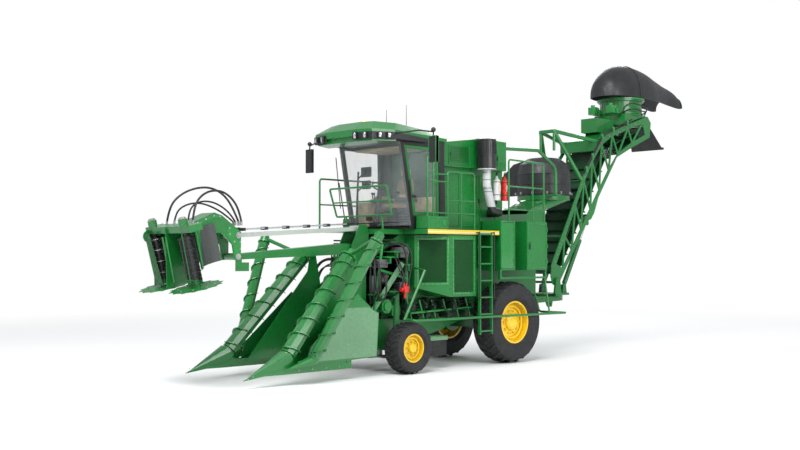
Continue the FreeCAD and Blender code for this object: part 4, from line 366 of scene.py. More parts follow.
# %% One finish for each part of the frame
FINISHES = [
    (green_paint, ["topper_head", "cooling_box", "rear_cabinets", "cabinet_door", "right_tanks",
                   "engine_hood", "left_door", "cab_roof", "guard_rails", "access_ladder", "side_guards",
                   "divider_left", "divider_right", "inner_scroll_left", "inner_scroll_right",
                   "outer_scroll_left", "outer_scroll_right", "topper_lower_arm", "extractor_base",
                   "elevator_frame", "secondary_extractor"]),
    (frame_green, ["rear_axle", "front_axle", "left_knuckle", "right_knuckle", "chassis_frame",
                   "elevator_table", "lift_cylinder_barrels"]),
    (deflector_finish, ["topper_deflectors"]),
    (deck_paint, ["cab_deck"]),
    (arm_paint, ["topper_upper_arm"]),
    (yellow_paint, ["rear_left_rim", "rear_right_rim", "front_left_rim", "front_right_rim"]),
    (rotor_paint, ["topper_rotor_left", "topper_rotor_right"]),
    (black_paint, ["cab_shell"]),
    (grey_paint, ["engine_block"]),
    (steel, ["base_cutter_left", "base_cutter_right", "knockdown_roller", "extractor_fan"]),
    (window_glass, ["cab_glass", "left_door_glass"]),
    (trim_tan, ["operator_station"]),
    (trim_plastic, ["mirrors"]),
    (intake_finish, ["air_intake"]),
    (bottle_paint, ["fire_extinguishers"]),
    (dome_plastic, ["extractor_hood", "secondary_hood"]),
    (belt_rubber, ["bin_flap"]),
    (slat_paint, ["elevator_conveyor"]),
    (chrome, ["lift_cylinder_rods"]),
    (hose_rubber, ["topper_hose_1", "topper_hose_2"]),
    (tyre_rubber, ["rear_left_tyre", "rear_right_tyre", "front_left_tyre", "front_right_tyre"]),
]
painted = set()
for finish, names in FINISHES:
    for name in names:
        nodes[name].data.materials.clear()
        nodes[name].data.materials.append(finish)
        painted.add(name)
print("parts with a finish:", len(painted), "of", len(nodes))

# %% [markdown]
# ## Camera, floor and light
# The camera stands a little above the wheels, off the machine's front left corner, and looks very
# slightly up. The floor is one large pale sheet whose colour runs into the white of the world with
# distance, so no horizon line shows. Three large soft lamps and an even world give plain studio light.

# %% Camera
eye = Vector((16.916, 14.977, 2.162))
turn, lift = math.radians(225.483), math.radians(1.729)
ahead = Vector((math.cos(turn) * math.cos(lift), math.sin(turn) * math.cos(lift), math.sin(lift)))
lens = bpy.data.cameras.new("studio_camera")
lens.lens = 47.70
lens.sensor_width = 36.0
lens.clip_end = 400.0
camera = bpy.data.objects.new("studio_camera", lens)
camera.matrix_world = Matrix.Translation(eye) @ ahead.to_track_quat("-Z", "Y").to_matrix().to_4x4()
bpy.context.scene.collection.objects.link(camera)
bpy.context.scene.camera = camera
bpy.context.scene.view_settings.view_transform = "Standard"

# %% World
world = bpy.data.worlds.new("studio")
bpy.context.scene.world = world
world.use_nodes = True
tree = world.node_tree
tree.nodes.clear()
path = tree.nodes.new("ShaderNodeLightPath")
seen = tree.nodes.new("ShaderNodeMath")
seen.operation = "MAXIMUM"
tree.links.new(path.outputs["Is Camera Ray"], seen.inputs[0])
tree.links.new(path.outputs["Is Transmission Ray"], seen.inputs[1])
even = tree.nodes.new("ShaderNodeBackground")
even.inputs["Color"].default_value = (0.94, 0.97, 1.0, 1)
even.inputs["Strength"].default_value = 0.62
white = tree.nodes.new("ShaderNodeBackground")
white.inputs["Color"].default_value = (1, 1, 1, 1)
white.inputs["Strength"].default_value = 1.0
either = tree.nodes.new("ShaderNodeMixShader")
result = tree.nodes.new("ShaderNodeOutputWorld")
tree.links.new(seen.outputs[0], either.inputs["Fac"])
tree.links.new(even.outputs[0], either.inputs[1])
tree.links.new(white.outputs[0], either.inputs[2])
tree.links.new(either.outputs[0], result.inputs["Surface"])

# %% Floor
shape = bmesh.new()
bmesh.ops.create_grid(shape, x_segments=1, y_segments=1, size=150.0,
                      matrix=Matrix.Translation((0, 0, -0.001)))
mesh = bpy.data.meshes.new("studio_floor")
shape.to_mesh(mesh)
shape.free()
floor = bpy.data.objects.new("studio_floor", mesh)
bpy.context.scene.collection.objects.link(floor)
material = bpy.data.materials.new("studio floor")
material.use_nodes = True
tree = material.node_tree
shader = tree.nodes["Principled BSDF"]
shader.inputs["Base Color"].default_value = (0.90, 0.90, 0.90, 1)
shader.inputs["Roughness"].default_value = 0.9
shader.inputs["Specular IOR Level"].default_value = 0.1
place = tree.nodes.new("ShaderNodeTexCoord")
length = tree.nodes.new("ShaderNodeVectorMath")
length.operation = "LENGTH"
tree.links.new(place.outputs["Object"], length.inputs[0])
fade = tree.nodes.new("ShaderNodeMapRange")
fade.interpolation_type = "SMOOTHSTEP"
for name, number in (("From Min", 9.0), ("From Max", 24.0), ("To Min", 0.0), ("To Max", 1.0)):
    fade.inputs[name].default_value = number
tree.links.new(length.outputs["Value"], fade.inputs["Value"])
path = tree.nodes.new("ShaderNodeLightPath")
seen = tree.nodes.new("ShaderNodeMath")
seen.operation = "MULTIPLY"
tree.links.new(fade.outputs[0], seen.inputs[0])
tree.links.new(path.outputs["Is Camera Ray"], seen.inputs[1])
glow = tree.nodes.new("ShaderNodeEmission")
glow.inputs["Color"].default_value = (1, 1, 1, 1)
glow.inputs["Strength"].default_value = 1.0
either = tree.nodes.new("ShaderNodeMixShader")
tree.links.new(seen.outputs[0], either.inputs["Fac"])
tree.links.new(shader.outputs[0], either.inputs[1])
tree.links.new(glow.outputs[0], either.inputs[2])
tree.links.new(either.outputs[0], tree.nodes["Material Output"].inputs["Surface"])
floor.data.materials.append(material)


# %% Lamps
def soft_lamp(name, at, aim, size, power):
    """A wide area lamp that looks from one place at another."""
    light = bpy.data.lights.new(name, "AREA")
    light.shape = "RECTANGLE"
    light.size, light.size_y = size
    light.energy = power
    lamp = bpy.data.objects.new(name, light)
    at, aim = Vector(at), Vector(aim)
    lamp.matrix_world = Matrix.Translation(at) @ (aim - at).to_track_quat("-Z", "Y").to_matrix().to_4x4()
    bpy.context.scene.collection.objects.link(lamp)


soft_lamp("key", (14, 6, 17), (0, 0, 2.5), (12, 9), 3600)
soft_lamp("side", (2, 20, 9), (-1, 0, 2.5), (14, 8), 2000)
soft_lamp("back", (-16, -12, 14), (0, 0, 3), (12, 8), 1500)

# %% [markdown]
# ## Tyres
# A tyre is a ring turned from its section. The lugs of the rear tyres are bars at an angle that meet
# like a V in the middle; the front tyres steer, so theirs are smaller. Each bar starts as a subdivided
# block on a flat strip, which is then rolled round the wheel, so the bars follow the crown.

# %% Tyre maker
CROWN = 0.55


def tyre_section(radius, width, seat, lug):
    """Half of the outline of a tyre, from the bead up over the shoulder, as (radius, offset)."""
    tread, half = radius - lug, width / 2
    return [(seat, half * 0.72), (seat + 0.03, half * 0.80), (seat + 0.10 * radius / 0.83, half * 0.99),
            (seat + (tread - seat) * 0.55, half * 1.0), (tread - 0.075 * radius / 0.83, half * 0.965),
            (tread - 0.028 * radius / 0.83, half * 0.90), (tread - 0.006, half * 0.62), (tread, half * 0.25)]


def make_tyre(name, body, node, centre, radius, width, seat, lug, count, lug_width, slant):
    """A tyre about a line along Y, with a row of bars on each half."""
    shape = bmesh.new()
    half = tyre_section(radius, width, seat, lug)
    ring = half + [(r, -y) for r, y in reversed(half)]
    verts = [shape.verts.new((centre[0] + r, centre[1] + y, centre[2])) for r, y in ring]
    edges = [shape.edges.new((verts[i - 1], verts[i])) for i in range(len(verts))]
    bmesh.ops.spin(shape, geom=verts + edges, cent=centre, axis=(0, 1, 0), angle=math.radians(360),
                   steps=72, use_merge=True)
    tread, reach = radius - lug, width / 2
    rolled = bpy.data.meshes.new("rolled_bar")
    for side in (1, -1):
        for i in range(count):
            turn = 2 * math.pi * (i + (0.5 if side < 0 else 0.0)) / count
            bar = bmesh.new()
            bmesh.ops.create_cube(bar, size=1.0)
            long_edges = [edge for edge in bar.edges if abs(edge.verts[0].co.y - edge.verts[1].co.y) > 0.5]
            bmesh.ops.subdivide_edges(bar, edges=long_edges, cuts=4)
            for vert in bar.verts:
                share = vert.co.y + 0.5
                along = share * reach * 0.97
                raised = vert.co.z > 0
                narrow = lug_width * (0.37 if raised else 0.5) * (1 - 0.18 * share)
                across = vert.co.x * 2 * narrow + slant * along
                drop = 0.10 * radius * max(0.0, share - CROWN) ** 2 / (1 - CROWN) ** 2
                out = tread - drop + (lug * (1 - 0.15 * share) if raised else -0.012)
                swing = turn + across / tread
                vert.co = (centre[0] + out * math.cos(swing), centre[1] + side * along,
                           centre[2] + out * math.sin(swing))
            bar.to_mesh(rolled)
            bar.free()
            shape.from_mesh(rolled)
    bpy.data.meshes.remove(rolled)
    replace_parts(make_piece(name, shape, body, tyre_rubber, angle=32), node)


WHEELS = []
for side in ("left", "right"):
    for end in ("rear", "front"):
        low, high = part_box(f"{end}_{side}_tyre")
        WHEELS.append((end, side, (low + high) / 2, (high.z - low.z) / 2, high.y - low.y))
# for each axle: the bead's radius, the lugs' height, count and width, and their slant
TYRE_SHAPES = {"rear": (0.412, 0.036, 24, 0.072, 0.62), "front": (0.252, 0.022, 26, 0.045, 0.45)}
for end, side, centre, radius, width in WHEELS:
    node = f"{end}_{side}_tyre"
    make_tyre(f"{node}_tread", f"{end}_{side}_wheel", node, centre, radius, width, *TYRE_SHAPES[end])
for end, side, centre, radius, width in WHEELS:
    print(end, side, "wheel at", [round(v, 3) for v in centre], "radius", round(radius, 3))

# %% [markdown]
# ## Wheel nuts
# The rims belong to the frame. Each nut on their bolt circle is a hexagon on a round washer, with the
# end of its stud standing out, so that the hubs catch the light.

# %% Nuts
# for each axle: the bolt circle's radius, the count of nuts, their radius and their offset
NUTS = {"rear": (0.230, 10, 0.017, 0.118), "front": (0.125, 8, 0.013, 0.088)}
for end, side, centre, radius, width in WHEELS:
    out = 1 if side == "left" else -1
    circle, count, size, face = NUTS[end]
    shape = bmesh.new()
    for i in range(count):
        turn = 2 * math.pi * i / count
        at = centre + Vector((circle * math.cos(turn), out * face, circle * math.sin(turn)))
        add_disc(shape, at, (0, out, 0), size * 1.5, 0.006, 16)
        add_disc(shape, at, (0, out, 0), size, 0.024, 6)
        add_disc(shape, at + Vector((0, out * 0.02, 0)), (0, out, 0), size * 0.45, 0.018, 8)
    make_piece(f"{end}_{side}_wheel_nuts", shape, f"{end}_{side}_wheel", yellow_paint)

# %% [markdown]
# ## The driver's place
# Through the large front screen the cab reads by its tan seat, the dark wheel and the screens. The seat
# is five crowned pads on a base: cushion, back, head rest and two arm rests. A pad could be a simulated
# cloth, with creases. Here it is a rounded block whose faces swell, then subdivided: plainer and quicker.


# %% Pads
def pad(name, low, high, crown, turn=None):
    """A stuffed pad: a rounded block whose faces swell towards the middle."""
    shape = bmesh.new()
    low, high = Vector(low), Vector(high)
    centre, size = (low + high) / 2, high - low
    bmesh.ops.create_cube(shape, size=1.0)
    bmesh.ops.subdivide_edges(shape, edges=shape.edges[:], cuts=5, use_grid_fill=True)
    for vert in shape.verts:
        x, y, z = (2 * c for c in vert.co)
        across, deep, tall = 1 - x * x, 1 - y * y, 1 - z * z
        swell = Vector((deep * tall * x, across * tall * y, across * deep * z))
        soft = Vector((x, y, z))
        rounded = soft * (1 - 0.10 * max(0.0, soft.length - 1.0))
        vert.co = rounded.lerp(swell, crown) * size / 2
    if turn is not None:
        bmesh.ops.transform(shape, matrix=turn, verts=shape.verts)
    bmesh.ops.translate(shape, vec=centre, verts=shape.verts)
    made = make_piece(name, shape, "machine", seat_cloth, angle=180)
    made.modifiers.new("Round", "SUBSURF").levels = 1
    made.modifiers["Round"].render_levels = 1


floor_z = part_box("operator_station")[0].z
ARM_REST_Y = 0.345
lean = Matrix.Rotation(math.radians(-6), 4, "Y")
pad("seat_cushion", (2.05, -0.25, floor_z + 0.37), (2.54, 0.25, floor_z + 0.49), 0.20)
pad("seat_back", (1.99, -0.24, floor_z + 0.46), (2.11, 0.24, floor_z + 1.02), 0.22, turn=lean)
pad("head_rest", (1.98, -0.13, floor_z + 1.03), (2.07, 0.13, floor_z + 1.20), 0.20, turn=lean)
for side, name in SIDES:
    pad(f"arm_rest_{name}", (2.12, side * ARM_REST_Y - 0.05, floor_z + 0.57),
        (2.58, side * ARM_REST_Y + 0.05, floor_z + 0.64), 0.15)

# %% Seat base, column, wheel and screens
shape = bmesh.new()
add_block(shape, (2.05, -0.20, floor_z), (2.42, 0.20, floor_z + 0.10), 0.02)
for step in range(4):
    fold = floor_z + 0.10 + 0.05 * step
    add_block(shape, (2.09 + 0.006 * step, -0.17, fold), (2.38, 0.17, fold + 0.042), 0.015)
add_block(shape, (2.02, -0.24, floor_z + 0.30), (2.50, 0.24, floor_z + 0.37), 0.02)
for side in (1, -1):
    y = side * ARM_REST_Y
    add_block(shape, (2.10, y - 0.06, floor_z + 0.50), (2.64, y + 0.06, floor_z + 0.57), 0.02)
    add_bar(shape, (2.16, side * 0.34, floor_z + 0.34), (2.20, side * 0.34, floor_z + 0.52), 0.025)
    for offset in (0.0, 0.05):
        add_bar(shape, (2.60 - offset, y, floor_z + 0.56), (2.62 - offset, y, floor_z + 0.66), 0.011)
        add_ball(shape, (2.62 - offset, y, floor_z + 0.68), 0.026)
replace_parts(make_piece("seat_base", shape, "machine", trim_plastic), "operator_station")

shape = bmesh.new()
add_bar(shape, (2.86, 0, floor_z), (2.74, 0, floor_z + 0.70), 0.05, 20)
add_block(shape, (2.76, -0.12, floor_z), (2.92, 0.12, floor_z + 0.08), 0.02)
tilt = Vector((-0.45, 0, 0.89)).normalized()
hub = Vector((2.72, 0, floor_z + 0.74))
add_ring(shape, hub + tilt * 0.05, tilt, 0.19, 0.015)
add_disc(shape, hub, tilt, 0.055, 0.06, 20)
for i in range(3):
    turn = facing(tilt, hub + tilt * 0.05) @ Matrix.Rotation(math.radians(120 * i + 30), 4, "Z")
    add_bar(shape, hub + tilt * 0.04, turn @ Vector((0.185, 0, 0)), 0.012)
make_piece("steering_wheel", shape, "machine", trim_plastic)

shape = bmesh.new()
for y, z, wide, tall in ((-0.52, 1.02, 0.28, 0.20), (-0.52, 0.78, 0.24, 0.17), (0.60, 1.28, 0.18, 0.14)):
    add_block(shape, (2.60, y - wide / 2, floor_z + z), (2.64, y + wide / 2, floor_z + z + tall), 0.012)
    add_bar(shape, (2.66, y, floor_z + z + tall / 2), (2.78, y * 1.15, floor_z + z - 0.05), 0.014)
add_bar(shape, (2.80, -0.62, floor_z), (2.76, -0.60, floor_z + 1.12), 0.020)
make_piece("cab_screens", shape, "machine", trim_plastic)

shape = bmesh.new()
add_block(shape, (1.87, -0.79, floor_z + 0.02), (2.05, 0.79, floor_z + 0.60), 0.03)
add_block(shape, (1.90, -0.79, floor_z + 0.02), (2.60, -0.50, floor_z + 0.52), 0.03)
add_block(shape, (1.87, -0.78, floor_z + 1.52), (2.70, 0.78, floor_z + 1.57), 0.02)
make_piece("cab_lining", shape, "machine", trim_tan)

# %% [markdown]
# ## Roof: lamps, beacon and aerials
# The work lamps sit in a black band under the roof's front corners. A lamp is a black housing with one
# bright, slightly domed lens. The yellow beacon and the two thin aerials stand on the roof.

# %% Lamp maker
lamp_dish = bare_steel("lamp dish", (0.75, 0.76, 0.76), 0.16, 0.1)


def lamp(name, at, out, body, wide, tall):
    """A rectangular work lamp that looks along a direction."""
    place = facing(out, at)
    shape = bmesh.new()
    bmesh.ops.create_cube(shape, size=1.0, matrix=place @ Matrix.Diagonal((tall, wide, 0.06, 1)))
    front = max(shape.faces, key=lambda f: f.calc_center_median().dot(Vector(out)))
    edges = [e for f in shape.faces if f is not front for e in f.edges]
    bmesh.ops.bevel(shape, geom=list(set(edges)), offset=0.012, affect="EDGES", segments=2, profile=0.5,
                    material=-1)
    front = max(shape.faces, key=lambda f: f.calc_center_median().dot(Vector(out)) + 0.001 * f.calc_area())
    bmesh.ops.inset_region(shape, faces=[front], thickness=0.010)
    bmesh.ops.translate(shape, vec=-Vector(out).normalized() * 0.012, verts=front.verts)
    housing = make_piece(f"{name}_housing", shape, body, trim_plastic)
    shape = bmesh.new()
    bmesh.ops.create_uvsphere(shape, u_segments=20, v_segments=10, radius=0.5,
                              matrix=place @ Matrix.Translation((0, 0, 0.018))
                              @ Matrix.Diagonal((tall * 0.78, wide * 0.80, 0.022, 1)))
    dish = make_piece(f"{name}_lens", shape, body, lamp_dish)
    dish.parent = housing


# %% [markdown]
# A black band wraps each front corner of the roof and runs back along its side, with the lamps before
# it. It follows the roof's outline, let out by twelve millimetres, and is one folded plate on each side.

# %% Lamp band
ROOF_EDGE = [(3.79, 0.36), (3.70, 0.80), (3.30, 1.00), (2.30, 0.935)]
BAND_LOW, BAND_HIGH = 4.345, 4.470
# each lamp: its name, its share of a side of the band, which side, and its width
ROOF_LAMPS = (("front", 0.22, 0, 0.15), ("front_outer", 0.72, 0, 0.13), ("corner", 0.32, 1, 0.12),
              ("corner_outer", 0.72, 1, 0.12))
for side, name in SIDES:
    shape = bmesh.new()
    lower = [shape.verts.new((x + 0.012, side * (y + 0.012), BAND_LOW)) for x, y in ROOF_EDGE]
    tops = (BAND_HIGH, BAND_HIGH, BAND_HIGH, BAND_HIGH - 0.05)
    upper = [shape.verts.new((x + 0.012, side * (y + 0.012), top)) for (x, y), top in zip(ROOF_EDGE, tops)]
    for k in range(3):
        shape.faces.new((lower[k], lower[k + 1], upper[k + 1], upper[k]))
    bmesh.ops.recalc_face_normals(shape, faces=shape.faces)
    bmesh.ops.solidify(shape, geom=shape.faces, thickness=0.018)
    make_piece(f"lamp_band_{name}", shape, "machine", trim_plastic)
    for lamp_name, share, k, wide in ROOF_LAMPS:
        start, end = Vector((*ROOF_EDGE[k], 0)), Vector((*ROOF_EDGE[k + 1], 0))
        run = end - start
        out = Vector((run.y, -run.x, 0)).normalized()
        at = start.lerp(end, share) + out * 0.045
        lamp(f"roof_lamp_{name}_{lamp_name}", (at.x, side * at.y, 4.405), (out.x, side * out.y, -0.10),
             "machine", wide, 0.085)

# %% Beacon and aerials
amber = rubber("beacon lens", (0.80, 0.58, 0.01), 0.25, 300, 0.03)
shape = bmesh.new()
add_disc(shape, (3.42, 0.30, 4.655), UP, 0.095, 0.025, 24)
make_piece("beacon_base", shape, "machine", trim_plastic)
shape = bmesh.new()
add_disc(shape, (3.42, 0.30, 4.68), UP, 0.085, 0.035, 28, 0.070)
make_piece("beacon_lens", shape, "machine", amber)
shape = bmesh.new()
for x, top in ((2.85, 4.99), (2.31, 5.14)):
    add_disc(shape, (x, 0.30, 4.60), UP, 0.028, 0.03, 16)
    add_disc(shape, (x, 0.30, 4.62), UP, 0.007, top - 4.62, 8, 0.0035)
make_piece("aerials", shape, "machine", trim_plastic)

# %% [markdown]
# ## Mirrors, wiper and door handle
# Each mirror head gets its bright face towards the driver, the screen its single long wiper, and the
# door a handle.

# %% Mirror faces and wiper
MIRROR_Y = 1.75
shape = bmesh.new()
for side in (1, -1):
    y = side * MIRROR_Y
    for low_z, high_z in ((3.90, 4.15), (4.17, 4.335)):
        add_block(shape, (3.022, y - 0.078, low_z), (3.031, y + 0.078, high_z), 0.003)
make_piece("mirror_faces", shape, "machine", mirror_glass)
shape = bmesh.new()
for y in (MIRROR_Y - 0.095, MIRROR_Y + 0.080):
    add_block(shape, (3.012, y, 3.88), (3.098, y + 0.015, 4.36), 0.004)
add_block(shape, (3.012, MIRROR_Y - 0.095, 4.345), (3.098, MIRROR_Y + 0.095, 4.36), 0.004)
make_piece("mirror_edge", shape, "machine", green_paint)

shape = bmesh.new()
add_block(shape, (3.00, -0.07, 2.86), (3.05, 0.07, 2.94), 0.012)
add_bar(shape, (3.03, -0.70, 2.90), (3.165, -0.72, 3.62), 0.011)
add_bar(shape, (3.07, -0.78, 3.12), (3.195, -0.78, 4.12), 0.009)
add_block(shape, (3.02, -0.85, 2.80), (3.06, 0.85, 2.82), 0.006)
make_piece("screen_wiper", shape, "machine", trim_plastic)

shape = bmesh.new()
add_block(shape, (2.62, 0.862, 3.28), (2.76, 0.882, 3.34), 0.008)
add_bar(shape, (2.76, 0.885, 3.20), (2.80, 0.885, 3.62), 0.010)
make_piece("door_handle", shape, "door", trim_plastic)

# %% [markdown]
# ## The cooling box and its screens
# Air for the radiators enters through wire screens. Each screen is a fine grid turned into wire by
# the Wireframe modifier, so its holes are real and the dark core shows behind. A bright green frame
# with rivets holds it. `upright` gives the place of a flat piece that stands on a wall.


# %% Screen maker
def upright(at, outward):
    """A place whose Z points outward from a wall and whose Y points up."""
    out = Vector(outward).normalized()
    up = Vector(UP)
    across = up.cross(out)
    turn = Matrix((across, up, out)).transposed().to_4x4()
    return Matrix.Translation(Vector(at)) @ turn


def add_plate(shape, place, width, height, low, high, bevel=0.003):
    """A plate between two depths on an upright place, with softened edges."""
    middle = Matrix.Translation((0, 0, (low + high) / 2)) @ Matrix.Diagonal((width, height, high - low, 1))
    made = bmesh.ops.create_cube(shape, size=1.0, matrix=place @ middle)
    edges = {edge for vert in made["verts"] for edge in vert.link_edges}
    bmesh.ops.bevel(shape, geom=list(edges), offset=bevel, affect="EDGES", segments=2, profile=0.5,
                    material=-1)


def add_border(shape, place, width, height, border, low, high, bevel=0.003):
    """Four bars round a rectangle."""
    for x in (-1, 1):
        upright_bar = place @ Matrix.Translation((x * (width - border) / 2, 0, 0))
        add_plate(shape, upright_bar, border, height, low, high, bevel)
    for y in (-1, 1):
        level_bar = place @ Matrix.Translation((0, y * (height - border) / 2, 0))
        add_plate(shape, level_bar, width - 2 * border, border, low, high, bevel)


def add_rivets(shape, place, width, height, pitch, radius, low):
    """Rivet heads along the edges of a rectangle."""
    across, upward = max(2, round(width / pitch)), max(2, round(height / pitch))
    spots = [(-width / 2 + width * i / across, y * height / 2) for i in range(across + 1) for y in (-1, 1)]
    spots += [(x * width / 2, -height / 2 + height * i / upward) for i in range(1, upward) for x in (-1, 1)]
    for x, y in spots:
        head_place = place @ Matrix.Translation((x, y, low)) @ Matrix.Diagonal((1, 1, 0.6, 1))
        bmesh.ops.create_uvsphere(shape, u_segments=8, v_segments=5, radius=radius, matrix=head_place)


def screen(name, at, outward, width, height, pitch=0.02):
    """A screen of wire in its frame, before a dark core."""
    place = upright(at, outward)
    shape = bmesh.new()
    stretched = place @ Matrix.Translation((0, 0, 0.006)) @ Matrix.Diagonal((width, height, 1, 1))
    bmesh.ops.create_grid(shape, x_segments=round(width / pitch), y_segments=round(height / pitch),
                          size=0.5, matrix=stretched)
    mesh_piece = make_piece(f"{name}_mesh", shape, "machine", screen_green, smooth=False)
    wire = mesh_piece.modifiers.new("Holes", "WIREFRAME")
    wire.thickness = pitch * 0.42
    wire.use_even_offset = False
    shape = bmesh.new()
    add_plate(shape, place, width, height, -0.004, 0.001, 0.001)
    make_piece(f"{name}_core", shape, "machine", core_black)
    shape = bmesh.new()
    add_border(shape, place, width + 0.05, height + 0.05, 0.045, -0.002, 0.020, 0.004)
    make_piece(f"{name}_frame", shape, "machine", bright_green)
    shape = bmesh.new()
    add_rivets(shape, place, width + 0.005, height + 0.005, 0.09, 0.006, 0.020)
    make_piece(f"{name}_rivets", shape, "machine", bolt_steel)


screen_green = paint("screen green", scaled(GREEN, 0.75), gloss=0.45, coat=0.1)
core_black = paint("radiator core", (0.004, 0.022, 0.008), gloss=0.6, coat=0.0)
bright_green = paint("bright green", scaled(GREEN, 1.25), gloss=0.28, coat=0.4)
for side, name in SIDES:
    depth = 1.186 if side == 1 else 1.204
    screen(f"{name}_side_screen", (1.635, side * depth, 1.99), (0, side, 0), 0.60, 1.05)
    normal = Vector((0.47, side * 0.52, 0)).normalized()
    inset = 0.014 if side == 1 else -0.004
    corner = Vector((2.26, side * 0.965, 2.083)) - normal * inset
    screen(f"{name}_corner_screen", corner, normal, 0.57, 0.86)

# %% [markdown]
# ## Cabinets
# The tall cabinets behind the ladder have folded edges, hinges, a latch and screws. These are thin
# plates with softened edges that stand a few millimetres proud, as folded sheet does.

# %% Cabinet panels
shape = bmesh.new()
for side in (1, -1):
    place = upright((0.32, side * 1.203, 2.395), (0, side, 0))
    add_plate(shape, place, 0.40, 0.93, -0.004, 0.012, 0.005)
    add_border(shape, place, 0.44, 0.98, 0.02, -0.004, 0.020, 0.004)
    for z in (-0.32, 0.32):
        low, high = place @ Vector((0.205, z - 0.04, 0.018)), place @ Vector((0.205, z + 0.04, 0.018))
        add_bar(shape, low, high, 0.010)
make_piece("cabinet_panels", shape, "machine", bright_green)
shape = bmesh.new()
place = upright((-0.62, 1.222, 2.395), (0, 1, 0))
add_border(shape, place, 0.60, 0.93, 0.022, -0.003, 0.007, 0.003)
for z in (-0.33, 0.0, 0.33):
    add_bar(shape, place @ Vector((0.335, z - 0.04, 0.004)), place @ Vector((0.335, z + 0.04, 0.004)), 0.011)
make_piece("cabinet_door_panel", shape, "rear_door", bright_green)
shape = bmesh.new()
place = upright((-0.355, 1.244, 2.375), (0, 1, 0))
add_plate(shape, place, 0.035, 0.12, -0.006, 0.010, 0.006)
add_disc(shape, (-0.355, 1.245, 2.46), (0, 1, 0), 0.014, 0.012, 16)
make_piece("cabinet_latch", shape, "rear_door", trim_plastic)
shape = bmesh.new()
for x in (0.135, 0.50):
    for z in (1.94, 2.85):
        add_disc(shape, (x, 1.222, z), (0, 1, 0), 0.008, 0.005, 10)
make_piece("cabinet_screws", shape, "machine", bolt_steel)

# %% [markdown]
# ## Engine hood
# The hood has bordered panels on its sides, tilted slats over the front one of the upper pair, and latches.
# One slat is a thin plate, turned about its long edge and repeated up the panel.

# %% Hood panels and louvres
shape = bmesh.new()
for side in (1, -1):
    for x, wide in ((1.33, 0.62), (0.42, 0.56)):
        place = upright((x, side * 0.803, 4.19), (0, side, 0))
        add_border(shape, place, wide, 0.38, 0.025, -0.003, 0.010, 0.003)
    place = upright((0.9, side * 0.694, 3.30), (0, side, 0))
    for x in (-0.55, 0.0, 0.55):
        add_border(shape, place @ Matrix.Translation((x, 0, 0)), 0.50, 1.05, 0.022, -0.003, 0.008, 0.003)
make_piece("hood_panels", shape, "machine", green_paint)
SLAT_LEAN = Matrix.Rotation(math.radians(35), 4, "X")
shape = bmesh.new()
for side in (1, -1):
    place = upright((1.33, side * 0.803, 4.19), (0, side, 0))
    for i in range(9):
        slat = place @ Matrix.Translation((0, -0.14 + 0.035 * i, 0.004)) @ SLAT_LEAN
        add_plate(shape, slat, 0.55, 0.030, -0.002, 0.002, 0.001)
make_piece("hood_louvres", shape, "machine", frame_green)
shape = bmesh.new()
for side in (1, -1):
    for x, z in ((1.60, 4.19), (0.16, 4.19), (0.62, 3.3), (1.17, 3.3), (0.07, 3.3)):
        y = 0.803 if z > 4 else 0.694
        add_side_block(shape, side, (x - 0.012, y, z - 0.045), (x + 0.012, y + 0.02, z + 0.045), 0.005)
make_piece("hood_latches", shape, "machine", trim_plastic)

# %% [markdown]
# ## Deck edge and ladder
# The deck's edge carries a bordered panel with a small plate. Each of the ladder's six steps gets nine
# short bars, and two grips stand beside it on short stays.

# %% Deck edge, steps and hand grips
shape = bmesh.new()
for side in (1, -1):
    place = upright((2.355, side * 1.197, 2.815), (0, side, 0))
    add_border(shape, place, 0.54, 0.21, 0.012, -0.003, 0.006, 0.002)
    add_plate(shape, place @ Matrix.Translation((0.17, 0.0, 0)), 0.10, 0.09, -0.003, 0.010, 0.004)
make_piece("fascia_trim", shape, "machine", bright_green)
shape = bmesh.new()
for step in range(6):
    z = 0.724 + 0.33 * step
    for i in range(9):
        x = 0.90 + 0.30 * i / 8
        add_block(shape, (x - 0.006, 1.198, z), (x + 0.006, 1.276, z + 0.006), 0.001, 1)
for x in (0.83, 1.27):
    add_bar(shape, (x, 1.285, 1.35), (x, 1.285, 2.66), 0.012)
    for z in (1.37, 2.0, 2.64):
        add_bar(shape, (x, 1.285, z), (x, 1.215 if z < 2.3 else 1.20, z), 0.010)
make_piece("ladder_grips", shape, "machine", trim_plastic)

# %% [markdown]
# ## Intake and bottles
# The air cleaner gets rings and upright ribs, its pipe two clamps, and the two fire bottles black heads,
# straps and plain labels. They are small discs, rings and blocks laid on the frame's own cylinders.

# %% Intake and bottles
INTAKE_X, INTAKE_Y, CLEANER = 0.72, 1.0, 0.192
BOTTLES = (0.46, 0.21)
shape = bmesh.new()
for z in (3.95, 4.20, 4.50):
    add_ring(shape, (INTAKE_X, INTAKE_Y, z), UP, CLEANER, 0.007)
add_disc(shape, (INTAKE_X, INTAKE_Y, 4.525), UP, CLEANER, 0.02, 40, 0.150)
for i in range(28):
    turn = 2 * math.pi * i / 28
    at = Vector((INTAKE_X + CLEANER * math.cos(turn), INTAKE_Y + CLEANER * math.sin(turn), 0))
    add_block(shape, at + Vector((-0.004, -0.004, 4.23)), at + Vector((0.004, 0.004, 4.47)), 0.001, 1)
make_piece("intake_ribs", shape, "machine", black_paint)
shape = bmesh.new()
for z in (3.55, 3.86):
    add_ring(shape, (INTAKE_X, INTAKE_Y, z), UP, 0.088, 0.007)
make_piece("intake_clamps", shape, "machine", bolt_steel)
shape = bmesh.new()
for x in BOTTLES:
    add_disc(shape, (x, 1.04, 3.80), UP, 0.022, 0.05, 16)
    add_block(shape, (x - 0.05, 1.03, 3.845), (x + 0.015, 1.05, 3.87), 0.004)
    add_block(shape, (x - 0.06, 1.03, 3.875), (x + 0.005, 1.05, 3.892), 0.004)
    for z in (3.42, 3.68):
        add_ring(shape, (x, 1.04, z), UP, 0.078, 0.006)
make_piece("bottle_heads", shape, "machine", trim_plastic)
shape = bmesh.new()
